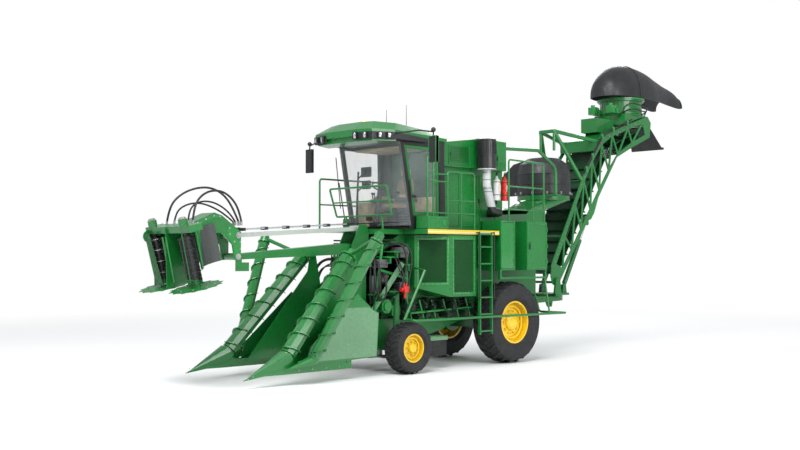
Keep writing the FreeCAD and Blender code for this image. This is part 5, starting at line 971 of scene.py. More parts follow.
for x in BOTTLES:
    place = upright((x, 1.1165, 3.56), (0, 1, 0))
    add_plate(shape, place, 0.07, 0.13, -0.002, 0.001, 0.0005)
plain_label = paint("plain label", (0.55, 0.53, 0.42), gloss=0.4, coat=0.0)
make_piece("bottle_labels", shape, "machine", plain_label)

# %% [markdown]
# ## Topper hoses
# Four hydraulic hoses rise from fittings on the topper's head and arch back to its neck. A hose is one
# smooth NURBS curve with a round bevel. The first two stand for tubes of the frame. The other two are
# shorter and thinner, and pass under them.


# %% Hose maker
def hose(name, points, radius, body, length, *stands_for):
    """A free hose along a smooth curve, with its real length printed."""
    curve = bpy.data.curves.new(name, "CURVE")
    curve.dimensions = "3D"
    curve.resolution_u = 12
    spline = curve.splines.new("NURBS")
    spline.points.add(len(points) - 1)
    for point, place in zip(spline.points, points):
        point.co = (*place, 1)
    spline.order_u = 3
    spline.use_endpoint_u = True
    curve.bevel_depth = radius
    curve.bevel_resolution = 4
    curve.use_fill_caps = True
    curve.materials.append(hose_rubber)
    piece = bpy.data.objects.new(name, curve)
    bpy.context.scene.collection.objects.link(piece)
    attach(piece, body)
    if stands_for:
        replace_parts(piece, *stands_for)
    print("hose", name, length, "m")


# %% Four hoses over the topper
# each hose: its name, its radius, its length, the frame's tube that it stands for, and its route
TOPPER_HOSES = (
    ("outer", 0.018, 1.66, ["topper_hose_1"],
     [(7.300, 0.420, 2.735), (7.270, 0.412, 2.980), (7.120, 0.385, 3.170), (6.870, 0.350, 3.270),
      (6.600, 0.320, 3.245), (6.370, 0.280, 3.090), (6.240, 0.235, 2.900), (6.180, 0.200, 2.760)]),
    ("far", 0.018, 1.83, ["topper_hose_2"],
     [(7.330, -0.300, 2.735), (7.302, -0.277, 2.985), (7.150, -0.225, 3.190), (6.900, -0.165, 3.320),
      (6.620, -0.090, 3.350), (6.400, 0.000, 3.230), (6.262, 0.075, 2.995), (6.180, 0.120, 2.760)]),
    ("inner", 0.015, 1.36, [],
     [(7.290, 0.270, 2.735), (7.270, 0.262, 2.890), (7.170, 0.240, 3.020), (6.970, 0.200, 3.090),
      (6.720, 0.160, 3.080), (6.480, 0.120, 2.990), (6.290, 0.080, 2.860), (6.200, 0.050, 2.765)]),
    ("middle", 0.015, 1.34, [],
     [(7.300, -0.120, 2.735), (7.280, -0.112, 2.870), (7.190, -0.090, 2.990), (7.000, -0.055, 3.065),
      (6.780, -0.030, 3.060), (6.520, -0.020, 2.970), (6.310, -0.015, 2.850), (6.200, -0.010, 2.765)]))
for name, radius, length, stands_for, route in TOPPER_HOSES:
    hose(f"topper_hose_{name}", route, radius, "topper", length, *stands_for)

# %% [markdown]
# ## Topper head
# The head hangs at fourteen degrees, so its pieces are made in a level place and turned with one
# matrix. Each drum carries six rows of slanted teeth and five rings, black on the left and bare steel
# on the right. Two plates and two bars stand before the drums as guides.

# %% Drums and the bolts of their discs
HEAD_TILT = math.radians(14)
HEAD_UP = (0.2419, 0, 0.9703)
DRUM_Y = 0.455
head = Matrix.Translation((7.25, 0, 1.68)) @ Matrix.Rotation(HEAD_TILT, 4, "Y")
wire_black = paint("wire cloth", (0.016, 0.030, 0.020), gloss=0.45, coat=0.0)
for side, name in SIDES:
    drum = head @ Matrix.Translation((0, side * DRUM_Y, 0))
    shape = bmesh.new()
    for i in range(6):
        turn = drum @ Matrix.Rotation(math.radians(60 * i + 30), 4, "Z")
        for j in range(11):
            z = 0.09 + 0.068 * j
            add_bar(shape, turn @ Vector((0.075, 0, z)), turn @ Vector((0.128, 0, z + 0.02)), 0.007, 6)
    for z in (0.05, 0.25, 0.44, 0.63, 0.81):
        add_ring(shape, drum @ Vector((0, 0, z)), HEAD_UP, 0.132, 0.006, 36)
    finish = steel if side < 0 else wire_black
    make_piece(f"{name}_drum_teeth", shape, f"{name}_topper_rotor", finish)
    shape = bmesh.new()
    for i in range(8):
        turn = drum @ Matrix.Rotation(math.radians(45 * i), 4, "Z")
        add_disc(shape, turn @ Vector((0.30, 0, 0.0)), HEAD_UP, 0.016, 0.012, 6)
    make_piece(f"{name}_disc_bolts", shape, f"{name}_topper_rotor", bolt_steel)

# %% Guide plates
shape = bmesh.new()
far_plate = [(0.165, -0.47, 0.06), (0.165, -0.25, 0.06), (0.150, -0.37, 0.93), (0.150, -0.52, 0.93)]
near_plate = [(0.165, 0.60, 0.10), (0.165, 0.56, 0.10), (0.150, 0.565, 0.93), (0.150, 0.61, 0.93)]
for corners in (far_plate, near_plate):
    face = shape.faces.new([shape.verts.new(head @ Vector(corner)) for corner in corners])
    bmesh.ops.solidify(shape, geom=[face], thickness=0.012)
for y in (-0.05, 0.05):
    add_bar(shape, head @ Vector((0.13, y, 0.10)), head @ Vector((0.11, y, 0.86)), 0.018)
add_disc(shape, head @ Vector((0.04, -0.60, 0.86)), (0, 1, 0), 0.105, 0.03, 32)
make_piece("topper_guides", shape, "topper", bright_green)

# %% Motor caps and hose fittings
shape = bmesh.new()
for side in (1, -1):
    motor = head @ Matrix.Translation((0, side * DRUM_Y, 1.128))
    add_disc(shape, motor.translation, HEAD_UP, 0.050, 0.024, 24)
    for i in range(4):
        turn = motor @ Matrix.Rotation(math.radians(90 * i + 45), 4, "Z")
        add_disc(shape, turn @ Vector((0.058, 0, 0)), HEAD_UP, 0.010, 0.012, 6)
for x, y in ((7.30, 0.42), (7.33, -0.30), (7.29, 0.27), (7.30, -0.12)):
    add_disc(shape, (x, y, 2.66), UP, 0.024, 0.05, 6)
    add_disc(shape, (x, y, 2.70), UP, 0.019, 0.06, 16)
for x, y in ((6.18, 0.20), (6.18, 0.12), (6.20, 0.05), (6.20, -0.01)):
    add_disc(shape, (x, y, 2.70), UP, 0.021, 0.075, 16)
make_piece("topper_fittings", shape, "topper", bolt_steel)

# %% [markdown]
# ## Strips, pipes and clamps
# The deflectors' front edges get a round green strip, and three steel pipes lie along the upper arm,
# held by clamps. Straight runs like these are plain bars between two points.

# %% Bright strips along the deflectors' front edges
shape = bmesh.new()
for side in (1, -1):
    low = head @ Vector((-0.108, side * 0.596, 0.275))
    high = head @ Vector((-0.108, side * 0.596, 0.880))
    add_bar(shape, low, high, 0.012, 8)
    for i in range(4):
        at = low.lerp(high, (i + 0.5) / 4) + Vector((0, side * 0.012, 0))
        add_disc(shape, at, (0, side, 0), 0.012, 0.008, 6)
make_piece("deflector_edges", shape, "topper", bright_green)

# %% Pipes and clamps on the upper arm
PIPE_ROW = (-0.045, 0.0, 0.045)
pipe_start, pipe_end = Vector((6.02, 0, 2.642)), Vector((3.62, 0, 2.783))
shape = bmesh.new()
for y in PIPE_ROW:
    offset = Vector((0, y, 0))
    add_bar(shape, pipe_start + offset, pipe_end + offset, 0.014)
make_piece("arm_pipes", shape, "upper_arm", pale_steel)
shape = bmesh.new()
for at in between(pipe_start, pipe_end, 6):
    add_block(shape, at + Vector((-0.03, -0.075, -0.03)), at + Vector((0.03, 0.075, 0.024)), 0.006)
for end, reach in ((pipe_start, 0.10), (pipe_end, -0.14)):
    for y in PIPE_ROW:
        add_bar(shape, end + Vector((0, y, 0)), end + Vector((reach, y, 0.012)), 0.019)
make_piece("arm_clamps", shape, "upper_arm", trim_plastic)

# %% [markdown]
# ## Plates on the topper's neck
# The arms' pins pass through doubled plates. A doubler is an outline drawn twice, one behind the other,
# with its two rims bridged: a solid sheet of any shape from a few corners.


# %% Doublers, pins and bolts on the neck
def add_sheet(shape, outline, inner, outer):
    """A flat sheet that stands along the machine: an outline of (x, z) between two values of y."""
    edges = []
    for y in (inner, outer):
        face = shape.faces.new([shape.verts.new((x, y, z)) for x, z in outline])
        edges += face.edges[:]
    bmesh.ops.bridge_loops(shape, edges=edges)


PIN_X = 6.24
NECK_BOLTS = [(6.20, 2.30), (6.20, 2.42), (6.32, 2.42), (6.41, 2.55), (6.42, 2.65), (6.62, 2.84),
              (6.74, 2.85), (6.90, 2.79), (7.06, 2.725), (7.16, 2.68)]
shape = bmesh.new()
doubler = [(6.185, 2.115), (6.305, 2.115), (6.355, 2.375), (6.500, 2.560), (6.440, 2.690), (6.185, 2.585)]
rib = [(6.560, 2.845), (6.720, 2.880), (7.200, 2.690), (7.180, 2.640), (6.720, 2.820), (6.590, 2.790)]
for side in (1, -1):
    for outline in (doubler, rib):
        add_sheet(shape, outline, side * 0.193, side * 0.201)
make_piece("neck_doublers", shape, "topper", bright_green)
shape = bmesh.new()
for side in (1, -1):
    for z in (2.17, 2.53):
        add_disc(shape, (PIN_X, side * 0.199, z), (0, side, 0), 0.052, 0.012, 28)
        add_disc(shape, (PIN_X, side * 0.208, z), (0, side, 0), 0.026, 0.016, 6)
    add_bolts(shape, [(x, side * 0.200, z) for x, z in NECK_BOLTS], (0, side, 0), 0.011, 0.010)
make_piece("neck_pins", shape, "topper", bolt_steel)

# %% [markdown]
# ## Divider noses and scroll ends
# A nose is a sheet-steel wedge that lifts lodged cane onto the scroll. It is the convex hull of a
# point, a keel line and a circle round the scroll's low bearing, so it closes by itself.


# %% Wedge and flange makers
def rim_points(at, axis, radius, count=10):
    """Points evenly round a circle about an axis."""
    place = facing(axis, at)
    turns = [2 * math.pi * i / count for i in range(count)]
    return [place @ Vector((radius * math.cos(turn), radius * math.sin(turn), 0)) for turn in turns]


def add_wedge(shape, points):
    """The closed hull of a set of points."""
    made = [shape.verts.new(point) for point in points]
    hull = bmesh.ops.convex_hull(shape, input=made)
    loose = [item for item in hull["geom_interior"] if isinstance(item, bmesh.types.BMVert)]
    bmesh.ops.delete(shape, geom=loose, context="VERTS")


INNER_NOSE = [(6.56, 0.84, 0.150), (6.30, 0.80, 0.27), (6.30, 0.88, 0.27), (5.78, 0.74, 0.30),
              (5.78, 0.94, 0.30)]
OUTER_NOSE = [(5.84, 0.985, 0.27), (5.40, 0.96, 0.30), (5.40, 1.12, 0.32)]
KEEL_BOLTS = [(5.2, 0.24), (4.9, 0.24), (4.6, 0.24), (5.5, 0.24)]
SHEET_BOLTS = [(4.4, 0.62), (4.1, 0.55), (4.35, 0.95), (4.05, 0.85)]
for side, name in SIDES:
    inner_low, inner_top = Vector((5.69, side * 0.84, 0.50)), Vector((4.15, side * 0.64, 2.15))
    outer_low, outer_top = Vector((5.29, side * 1.10, 0.475)), Vector((4.34, side * 1.60, 2.43))
    inner_axis, outer_axis = (inner_top - inner_low).normalized(), (outer_top - outer_low).normalized()
    shape = bmesh.new()
    rim = rim_points(inner_low - inner_axis * 0.03, inner_axis, 0.150)
    add_wedge(shape, rim + [Vector((x, side * y, z)) for x, y, z in INNER_NOSE])
    rim = rim_points(outer_low - outer_axis * 0.055, outer_axis, 0.105)
    add_wedge(shape, rim + [Vector((x, side * y, z)) for x, y, z in OUTER_NOSE])
    make_piece(f"{name}_divider_noses", shape, f"{name}_divider", green_paint, angle=25)

    shape = bmesh.new()
    for at, axis, radius in ((inner_top, inner_axis, 0.150), (outer_top, outer_axis, 0.115)):
        add_disc(shape, at + axis * 0.004, axis, radius, 0.022, 32)
        add_disc(shape, at + axis * 0.026, axis, radius * 0.8, 0.05, 32, radius * 0.55)
        add_disc(shape, at + axis * 0.07, axis, 0.060, 0.11, 24)
    make_piece(f"{name}_scroll_motors", shape, f"{name}_divider", bright_green)

    shape = bmesh.new()
    for at, axis, radius in ((inner_top, inner_axis, 0.150), (outer_top, outer_axis, 0.115)):
        for place in rim_points(at + axis * 0.026, axis, radius * 0.88, 8):
            add_disc(shape, place, axis, 0.011, 0.010, 6)
    for places, y in ((KEEL_BOLTS, 0.921), (SHEET_BOLTS, 0.941)):
        for x, z in places:
            add_disc(shape, (x, side * y, z), (0, side, 0), 0.012, 0.008, 6)
    for x, z in ((6.52, 0.165), (6.42, 0.195), (6.50, 0.205)):
        add_disc(shape, (x, side * 0.868, z), (0, side, 0.25), 0.009, 0.006, 10)
    make_piece(f"{name}_divider_bolts", shape, f"{name}_divider", bolt_steel)

# %% [markdown]
# ## Hydraulics on the front walls
# Between the dividers and the cooling boxes the walls carry valve blocks, pipes and brackets. They
# are dark and close-set, so this part of the machine reads as machinery and not as a bare plate. Their
# places are free choices.

# %% Valve blocks, brackets and pipes
WALL = 0.488
# valve blocks: the middle (x, z), then width, height and depth
BLOCKS = ((3.30, 2.04, 0.20, 0.16, 0.22), (3.22, 1.80, 0.16, 0.22, 0.16), (2.80, 2.25, 0.22, 0.20, 0.26),
          (2.74, 1.62, 0.26, 0.14, 0.20), (3.42, 1.66, 0.12, 0.30, 0.14))
# pipes: both ends as (x, z), then their distance from the machine's middle
WALL_PIPES = ((3.50, 2.20, 3.50, 0.98, 0.55), (3.44, 2.16, 3.44, 0.98, 0.58), (3.30, 2.05, 3.30, 1.30, 0.62),
              (3.24, 1.72, 2.66, 1.72, 0.56), (3.24, 1.66, 2.66, 1.66, 0.58), (2.64, 2.35, 2.64, 1.25, 0.60),
              (2.58, 2.35, 2.58, 1.25, 0.60), (2.90, 2.42, 3.40, 2.42, 0.60), (2.90, 2.48, 3.40, 2.48, 0.60))
BRACKETS = ((3.20, 2.16), (3.42, 1.46), (2.72, 2.02), (3.02, 2.26), (3.10, 1.52))
VALVE_Y = 0.99
for side, name in SIDES:
    shape = bmesh.new()
    for x, z, wide, tall, deep in BLOCKS:
        add_side_block(shape, side, (x - wide / 2, WALL, z - tall / 2),
                       (x + wide / 2, WALL + deep, z + tall / 2), 0.012)
        for k in (-1, 0, 1):
            add_disc(shape, (x + k * wide / 3.2, side * (WALL + deep), z), (0, side, 0), 0.022, 0.03, 12)
    make_piece(f"{name}_valve_blocks", shape, "machine", grey_paint)
    shape = bmesh.new()
    for x0, z0, x1, z1, y in WALL_PIPES:
        add_bar(shape, (x0, side * y, z0), (x1, side * y, z1), 0.015)
    make_piece(f"{name}_wall_pipes", shape, "machine", core_black)
    shape = bmesh.new()
    for x, z in BRACKETS:
        add_side_block(shape, side, (x - 0.10, WALL, z - 0.012), (x + 0.10, WALL + 0.30, z + 0.012), 0.003)
        add_side_block(shape, side, (x - 0.012, WALL, z - 0.12), (x + 0.012, WALL + 0.30, z), 0.003)
    make_piece(f"{name}_wall_brackets", shape, "machine", bright_green)
    shape = bmesh.new()
    add_side_block(shape, side, (2.97, 0.93, 1.50), (3.09, 1.05, 1.62), 0.015)
    for x in (3.0, 3.06):
        add_disc(shape, (x, side * VALVE_Y, 1.62), UP, 0.022, 0.05, 14)
    add_bar(shape, (3.03, side * VALVE_Y, 1.50), (3.03, side * VALVE_Y, 1.40), 0.028)
    add_disc(shape, (3.09, side * VALVE_Y, 1.56), (1, 0, 0), 0.035, 0.05, 16)
    make_piece(f"{name}_oil_valve", shape, "machine", red_paint)
    shape = bmesh.new()
    add_bar(shape, (3.0, side * VALVE_Y, 1.66), (2.98, side * 0.80, 2.05), 0.014)
    add_bar(shape, (3.06, side * VALVE_Y, 1.66), (3.05, side * 0.78, 2.10), 0.014)
    add_bar(shape, (2.98, side * 0.80, 2.05), (2.92, side * 0.62, 2.25), 0.014)
    add_bar(shape, (3.05, side * 0.78, 2.10), (3.02, side * 0.60, 2.30), 0.014)
    add_side_block(shape, side, (2.95, WALL, 1.53), (3.02, 0.95, 1.56), 0.003)
    make_piece(f"{name}_valve_lines", shape, "machine", hose_rubber)

# %% [markdown]
# ## Short hoses behind the dividers
# Three hoses on each side leave the wall, hang in a bow and go back into it lower down. One route
# serves all three: only its start, its reach and the stated length differ.

# %% Front hoses
# each hose: its start (x, z), its reach from the wall and its length
FRONT_HOSES = ((3.58, 2.10, 0.34, 1.30), (3.52, 2.02, 0.30, 1.23), (3.62, 1.98, 0.26, 1.16))
for side, name in SIDES:
    for k, (x, z, reach, length) in enumerate(FRONT_HOSES):
        route = [(x - 0.10, 0.50, z), (x - 0.08, 0.56 + reach * 0.5, z + 0.03),
                 (x + 0.02, 0.56 + reach, z - 0.16), (x + 0.05, 0.58 + reach, z - 0.42),
                 (x, 0.56 + reach * 0.8, z - 0.62), (x - 0.08, 0.60, z - 0.70), (x - 0.12, 0.50, z - 0.71)]
        hose(f"{name}_front_hose_{k + 1}", [(x, side * y, z) for x, y, z in route], 0.015, "machine", length)

# %% [markdown]
# ## Under the cooling boxes
# Three pipes run back along the wall through brackets. A box and two drums stand out from the wall
# below them. All of it is filler, in places that are free choices.

# %% Pipes under the cooling boxes
for side, name in SIDES:
    shape = bmesh.new()
    for k, z in enumerate((1.34, 1.28, 1.22)):
        y = side * (0.54 + 0.02 * k)
        add_bar(shape, (0.70, y, z), (2.62, y, z - 0.02), 0.016)
    for x in (0.95, 1.5, 2.05, 2.55):
        add_side_block(shape, side, (x - 0.02, WALL, 1.18), (x + 0.02, 0.62, 1.38), 0.004)
    add_side_block(shape, side, (1.1, WALL, 0.98), (1.5, 0.66, 1.15), 0.02)
    add_disc(shape, (1.9, side * 0.49, 1.07), (0, side, 0), 0.11, 0.16, 28)
    add_disc(shape, (2.3, side * 0.49, 1.05), (0, side, 0), 0.09, 0.22, 28)
    make_piece(f"{name}_belly_pipes", shape, "machine", core_black)

# %% [markdown]
# ## The bay behind the dividers
# A dark plate with close-set boxes fills the bay, and green tubes, a round cover and a brace stand
# before it. The boxes are filler that gives the bay its depth, and stand for no part in particular.
# Their places and sizes come from sines of their number, so they differ without random numbers.

# %% Bay behind the dividers
BAY = [(2.62, 1.00), (3.55, 1.00), (3.55, 2.03), (2.94, 2.41), (2.62, 2.41)]
BAY_TUBES = ((2.70, 1.02, 2.70, 2.40, 0.70), (3.52, 1.00, 3.30, 2.40, 0.66), (2.68, 1.75, 3.40, 1.92, 0.70))
for side, name in SIDES:
    shape = bmesh.new()
    face = shape.faces.new([shape.verts.new((x, side * 0.489, z)) for x, z in BAY])
    bmesh.ops.solidify(shape, geom=[face], thickness=0.003)
    for k in range(15):
        x = 2.70 + 0.23 * (k % 4) + 0.05 * math.sin(3 * k)
        z = 1.08 + 0.35 * (k // 4) + 0.04 * math.cos(2 * k)
        wide, tall = 0.10 + 0.05 * math.sin(k), 0.10 + 0.05 * math.cos(1.7 * k)
        deep = 0.10 + 0.06 * math.sin(2.3 * k)
        add_side_block(shape, side, (x - wide / 2, 0.49, z - tall / 2),
                       (x + wide / 2, 0.50 + deep, z + tall / 2), 0.012)
    make_piece(f"{name}_bay_back", shape, "machine", core_black)
    shape = bmesh.new()
    for x0, z0, x1, z1, y in BAY_TUBES:
        add_bar(shape, (x0, side * y, z0), (x1, side * y, z1), 0.028)
    pump = Vector((3.22, side * 0.50, 1.24))
    cover = Vector((3.22, side * 0.70, 1.24))
    add_disc(shape, pump, (0, side, 0), 0.13, 0.20, 32)
    add_disc(shape, cover, (0, side, 0), 0.085, 0.03, 32)
    add_bolts(shape, rim_points(cover, (0, side, 0), 0.11, 8), (0, side, 0), 0.010, 0.012)
    make_piece(f"{name}_bay_tubes", shape, "machine", bright_green)
    shape = bmesh.new()
    low_end, high_end = Vector((3.60, side * 0.60, 1.04)), Vector((2.91, side * 0.80, 2.05))
    run = high_end - low_end
    middle = facing(run, low_end) @ Matrix.Translation((0, 0, run.length / 2))
    flat = Matrix.Rotation(math.radians(90), 4, "Y") @ Matrix.Diagonal((run.length, 0.10, 1, 1))
    bmesh.ops.create_grid(shape, x_segments=1, y_segments=1, size=0.5, matrix=middle @ flat)
    bmesh.ops.solidify(shape, geom=shape.faces, thickness=0.012)
    make_piece(f"{name}_brace", shape, "machine", pale_green)

# %% [markdown]
# ## Side sheets of the dividers
# A pale sheet covers the outside of each divider, cut to its outline.

# %% Divider sheets
SIDE_SHEET = [(5.22, 0.365), (3.72, 0.372), (3.668, 1.14), (3.80, 1.20), (3.90, 1.26), (4.42, 1.26),
              (5.20, 0.60)]
for side, name in SIDES:
    shape = bmesh.new()
    add_sheet(shape, SIDE_SHEET, side * 0.941, side * 0.946)
    make_piece(f"{name}_divider_sheet", shape, f"{name}_divider", pale_green)

# %% [markdown]
# ## Long hoses in the bay
# Three longer hoses loop out from each wall and back. Each route is a short list of points, drawn for
# the left side and mirrored for the right.

# %% Loops
LOOPS = {
    "1": ([(3.40, 0.50, 2.10), (3.46, 0.62, 2.16), (3.62, 0.80, 2.06), (3.70, 0.88, 1.80), (3.66, 0.90, 1.52),
           (3.52, 0.88, 1.36), (3.38, 0.84, 1.42), (3.30, 0.78, 1.66), (3.28, 0.66, 1.86),
           (3.28, 0.51, 1.92)], 1.91),
    "2": ([(2.96, 0.50, 2.38), (2.96, 0.64, 2.42), (2.90, 0.86, 2.42), (2.84, 0.96, 2.28), (2.84, 0.98, 2.04),
           (2.90, 0.98, 1.82), (2.92, 0.96, 1.60), (2.90, 0.80, 1.48), (2.86, 0.62, 1.44),
           (2.84, 0.50, 1.43)], 1.72),
    "3": ([(3.10, 0.50, 2.30), (3.10, 0.66, 2.40), (3.02, 0.90, 2.40), (2.98, 0.98, 2.20), (3.00, 1.00, 1.98),
           (3.05, 1.00, 1.80), (3.10, 0.98, 1.58), (3.12, 0.82, 1.45), (3.12, 0.62, 1.40),
           (3.12, 0.50, 1.39)], 1.78)}
for side, name in SIDES:
    for key, (route, length) in LOOPS.items():
        hose(f"{name}_loop_{key}", [(x, side * y, z) for x, y, z in route], 0.018, "machine", length)

# %% [markdown]
# ## Stripe and belly
# A painted stripe runs along the deck's edge: yellow with a pale line. Far below it the belly is packed
# with small boxes and tubes. They are filler as well, set out by sines of their number.

# %% Side stripe and belly parts
for side, name in SIDES:
    shape = bmesh.new()
    add_side_block(shape, side, (0.575, 1.1955, 2.602), (2.632, 1.2005, 2.684), 0.001, 1)
    make_piece(f"{name}_stripe", shape, "machine", stripe_paint)
    shape = bmesh.new()
    for k in range(22):
        x, z = 0.95 + 0.18 * (k % 11), 1.02 + 0.20 * (k // 11) + 0.03 * math.sin(2.1 * k)
        wide, tall = 0.09 + 0.03 * math.sin(k), 0.11 + 0.04 * math.cos(1.3 * k)
        deep = 0.22 + 0.12 * math.sin(1.9 * k)
        add_side_block(shape, side, (x - wide / 2, 0.489, z - tall / 2),
                       (x + wide / 2, 0.50 + deep, z + tall / 2), 0.010)
        add_bar(shape, (x, side * (0.50 + deep), z), (x + 0.12, side * (0.52 + deep), z + 0.10), 0.012, 8)
    make_piece(f"{name}_belly_parts", shape, "machine", core_black)
    shape = bmesh.new()
    for k in range(6):
        x = 1.0 + 0.33 * k
        add_bar(shape, (x, side * 0.78, 0.99), (x + 0.08, side * 0.74, 1.34), 0.016)
    add_bar(shape, (0.9, side * 0.78, 1.16), (2.7, side * 0.80, 1.10), 0.020)
    make_piece(f"{name}_belly_tubes", shape, "machine", bright_green)

# %% [markdown]
# ## Rubber flaps
# A sheet of thick rubber hangs from an angle bracket on each side, behind the front wheel. It stands
# along the machine, and four bolts hold it.

# %% Rubber flaps behind the front wheels
for side, name in SIDES:
    shape = bmesh.new()
    add_side_block(shape, side, (1.72, 0.80, 0.25), (2.16, 0.822, 0.62), 0.006)
    make_piece(f"{name}_rubber_flap", shape, "machine", belt_rubber)
    shape = bmesh.new()
    add_side_block(shape, side, (1.70, 0.489, 0.62), (2.18, 0.835, 0.634), 0.003)
    add_side_block(shape, side, (1.70, 0.823, 0.55), (2.18, 0.835, 0.63), 0.003)
    bolts = [(x, side * 0.835, 0.59) for x in (1.76, 1.88, 2.00, 2.12)]
    add_bolts(shape, bolts, (0, side, 0), 0.010, 0.010)
    make_piece(f"{name}_flap_bracket", shape, "machine", pale_green)

# %% [markdown]
# ## Hub domes and rim rings
# A dome fills the middle of every wheel, and a raised ring runs round the dish. Both are spun from a
# half outline about the axle, because both are round.


# %% Spin maker
def add_turned(shape, at, direction, outline, steps=56):
    """Spin an outline of (radius, height) about a line through a point."""
    place = facing(direction, at)
    verts = [shape.verts.new(place @ Vector((radius, 0, height))) for radius, height in outline]
    edges = [shape.edges.new(pair) for pair in zip(verts, verts[1:])]
    bmesh.ops.spin(shape, geom=verts + edges, cent=at, axis=Vector(direction).normalized(),
                   angle=math.radians(360), steps=steps, use_merge=True)


# for each axle: the face's offset from the wheel's middle, then the outlines of the dome and the ring
HUBS = {"rear": (0.118, [(0.180, -0.002), (0.176, 0.022), (0.160, 0.045), (0.120, 0.075), (0.060, 0.088),
                         (0.0001, 0.090)],
                 [(0.300, -0.002), (0.306, 0.020), (0.330, 0.026), (0.346, 0.014), (0.350, -0.002)]),
        "front": (0.086, [(0.098, -0.002), (0.094, 0.030), (0.074, 0.055), (0.030, 0.066), (0.0001, 0.067)],
                  [(0.170, -0.002), (0.175, 0.012), (0.192, 0.016), (0.205, -0.002)])}
for end, side, centre, radius, width in WHEELS:
    out = 1 if side == "left" else -1
    offset, dome, ring = HUBS[end]
    face = centre + Vector((0, out * offset, 0))
    shape = bmesh.new()
    add_turned(shape, face, (0, out, 0), dome)
    add_turned(shape, face, (0, out, 0), ring)
    make_piece(f"{end}_{side}_hub_dome", shape, f"{end}_{side}_wheel", yellow_paint)

# %% [markdown]
# ## Moulded hoods
# Both trash hoods are smooth plastic mouldings. The elevator's hood is an arched tunnel: sections at
# stated places along it, with a smooth curve drawn through their sizes, then solidified. It stands for
# the frame's own hood, which keeps colliding under it.


# %% Smooth hood over the elevator
def smooth_row(rows, t):
    """A point on a Catmull-Rom curve through rows of numbers, t counted in rows."""
    k = min(int(t), len(rows) - 2)
    f = t - k
    before, low, high, after = (rows[min(max(k + i, 0), len(rows) - 1)] for i in (-1, 0, 1, 2))
    return [0.5 * (2 * b + (c - a) * f + (2 * a - 5 * b + 4 * c - d) * f * f
                   + (3 * b - a - 3 * c + d) * f ** 3)
            for a, b, c, d in zip(before, low, high, after)]


HOOD_X = -5.56
SECTIONS = [(0.900, 0.130, 6.092, 6.300), (0.760, 0.380, 6.092, 6.610), (0.400, 0.520, 6.092, 6.860),
            (-0.060, 0.550, 6.092, 6.938), (-0.640, 0.535, 6.092, 6.885), (-1.140, 0.450, 6.087, 6.765),
            (-1.600, 0.392, 6.065, 6.650), (-2.040, 0.400, 6.030, 6.540), (-2.245, 0.395, 6.055, 6.370)]
ARCH_STEPS, HOOD_TOP = 28, 6.930


def arch(wide, low, high):
    """Points over one section of the hood, as (y, z), from one side to the other."""
    turns = [math.pi * j / ARCH_STEPS for j in range(ARCH_STEPS + 1)]
    return [(wide * math.cos(turn), low + (high - low) * max(math.sin(turn), 0) ** 0.8) for turn in turns]


shape = bmesh.new()
rings = []
for i in range(49):
    x, wide, low, high = smooth_row(SECTIONS, i / 6)
    rings.append([shape.verts.new((HOOD_X + x, y, z)) for y, z in arch(wide, low, high)])
for ring, after in zip(rings, rings[1:]):
    for j in range(ARCH_STEPS):
        shape.faces.new((ring[j], ring[j + 1], after[j + 1], after[j]))
shape.faces.new(rings[0])
bmesh.ops.recalc_face_normals(shape, faces=shape.faces)
bmesh.ops.solidify(shape, geom=shape.faces, thickness=0.012)
hood = make_piece("elevator_hood", shape, "elevator_top", dome_plastic, angle=50)
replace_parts(hood, "secondary_hood")

# %% Lips and ring of the hood
shape = bmesh.new()
for ring_at, drop in ((-2.215, 0.012), (-0.06, 0.008)):
    t = next(i / 60 for i in range(480) if smooth_row(SECTIONS, i / 60)[0] <= ring_at)
    x, wide, low, high = smooth_row(SECTIONS, t)
    path = [(HOOD_X + x, y, min(z, HOOD_TOP)) for y, z in arch(wide + drop, low, high + drop * 0.4)]
    for a, b in zip(path, path[1:]):
        add_bar(shape, a, b, 0.010, 8)
make_piece("hood_lips", shape, "elevator_top", trim_plastic)

shape = bmesh.new()
add_turned(shape, (HOOD_X, 0, 0), UP, [(0.560, 6.040), (0.585, 6.040), (0.585, 6.078), (0.560, 6.078)], 64)
for i in range(16):
    turn = math.radians(22.5 * i)
    add_disc(shape, (HOOD_X + 0.545 * math.cos(turn), 0.545 * math.sin(turn), 6.074), UP, 0.014, 0.012, 6)
make_piece("hood_ring_bolts", shape, "elevator_top", bright_green)

# %% [markdown]
# ## The fan's dome
# The dome over the main fan is the frame's. Three rings run round it, and twelve clamps sit at its foot.

# %% Ribs and clamps on the fan's dome
FAN_X = -2.42
shape = bmesh.new()
for z, radius in ((3.585, 0.626), (3.80, 0.624), (4.03, 0.624)):
    add_ring(shape, (FAN_X, 0, z), UP, radius, 0.010, 64)
make_piece("dome_ribs", shape, "extractor_top", dome_plastic)
shape = bmesh.new()
for i in range(12):
    turn = math.radians(30 * i + 15)
    at = Vector((FAN_X + 0.632 * math.cos(turn), 0.632 * math.sin(turn), 3.60))
    reach = Vector((0.02, 0.02, 0.03))
    add_block(shape, at - reach, at + reach, 0.004)
make_piece("dome_clamps", shape, "extractor_top", bolt_steel)

# %% [markdown]
# ## Elevator fittings
# The truss carries two hydraulic pipes in clamps, and rows of bolts along its upper edge.

# %% Pipes, clamps and bolts on the elevator
def along_elevator(x, y, z):
    """A place given in metres from the elevator's foot pin."""
    return Vector((-2.22 + x, y, 1.61 + z))


PIPE_BENDS = ((-1.02, 2.48), (-1.78, 3.42), (-3.0, 3.86))
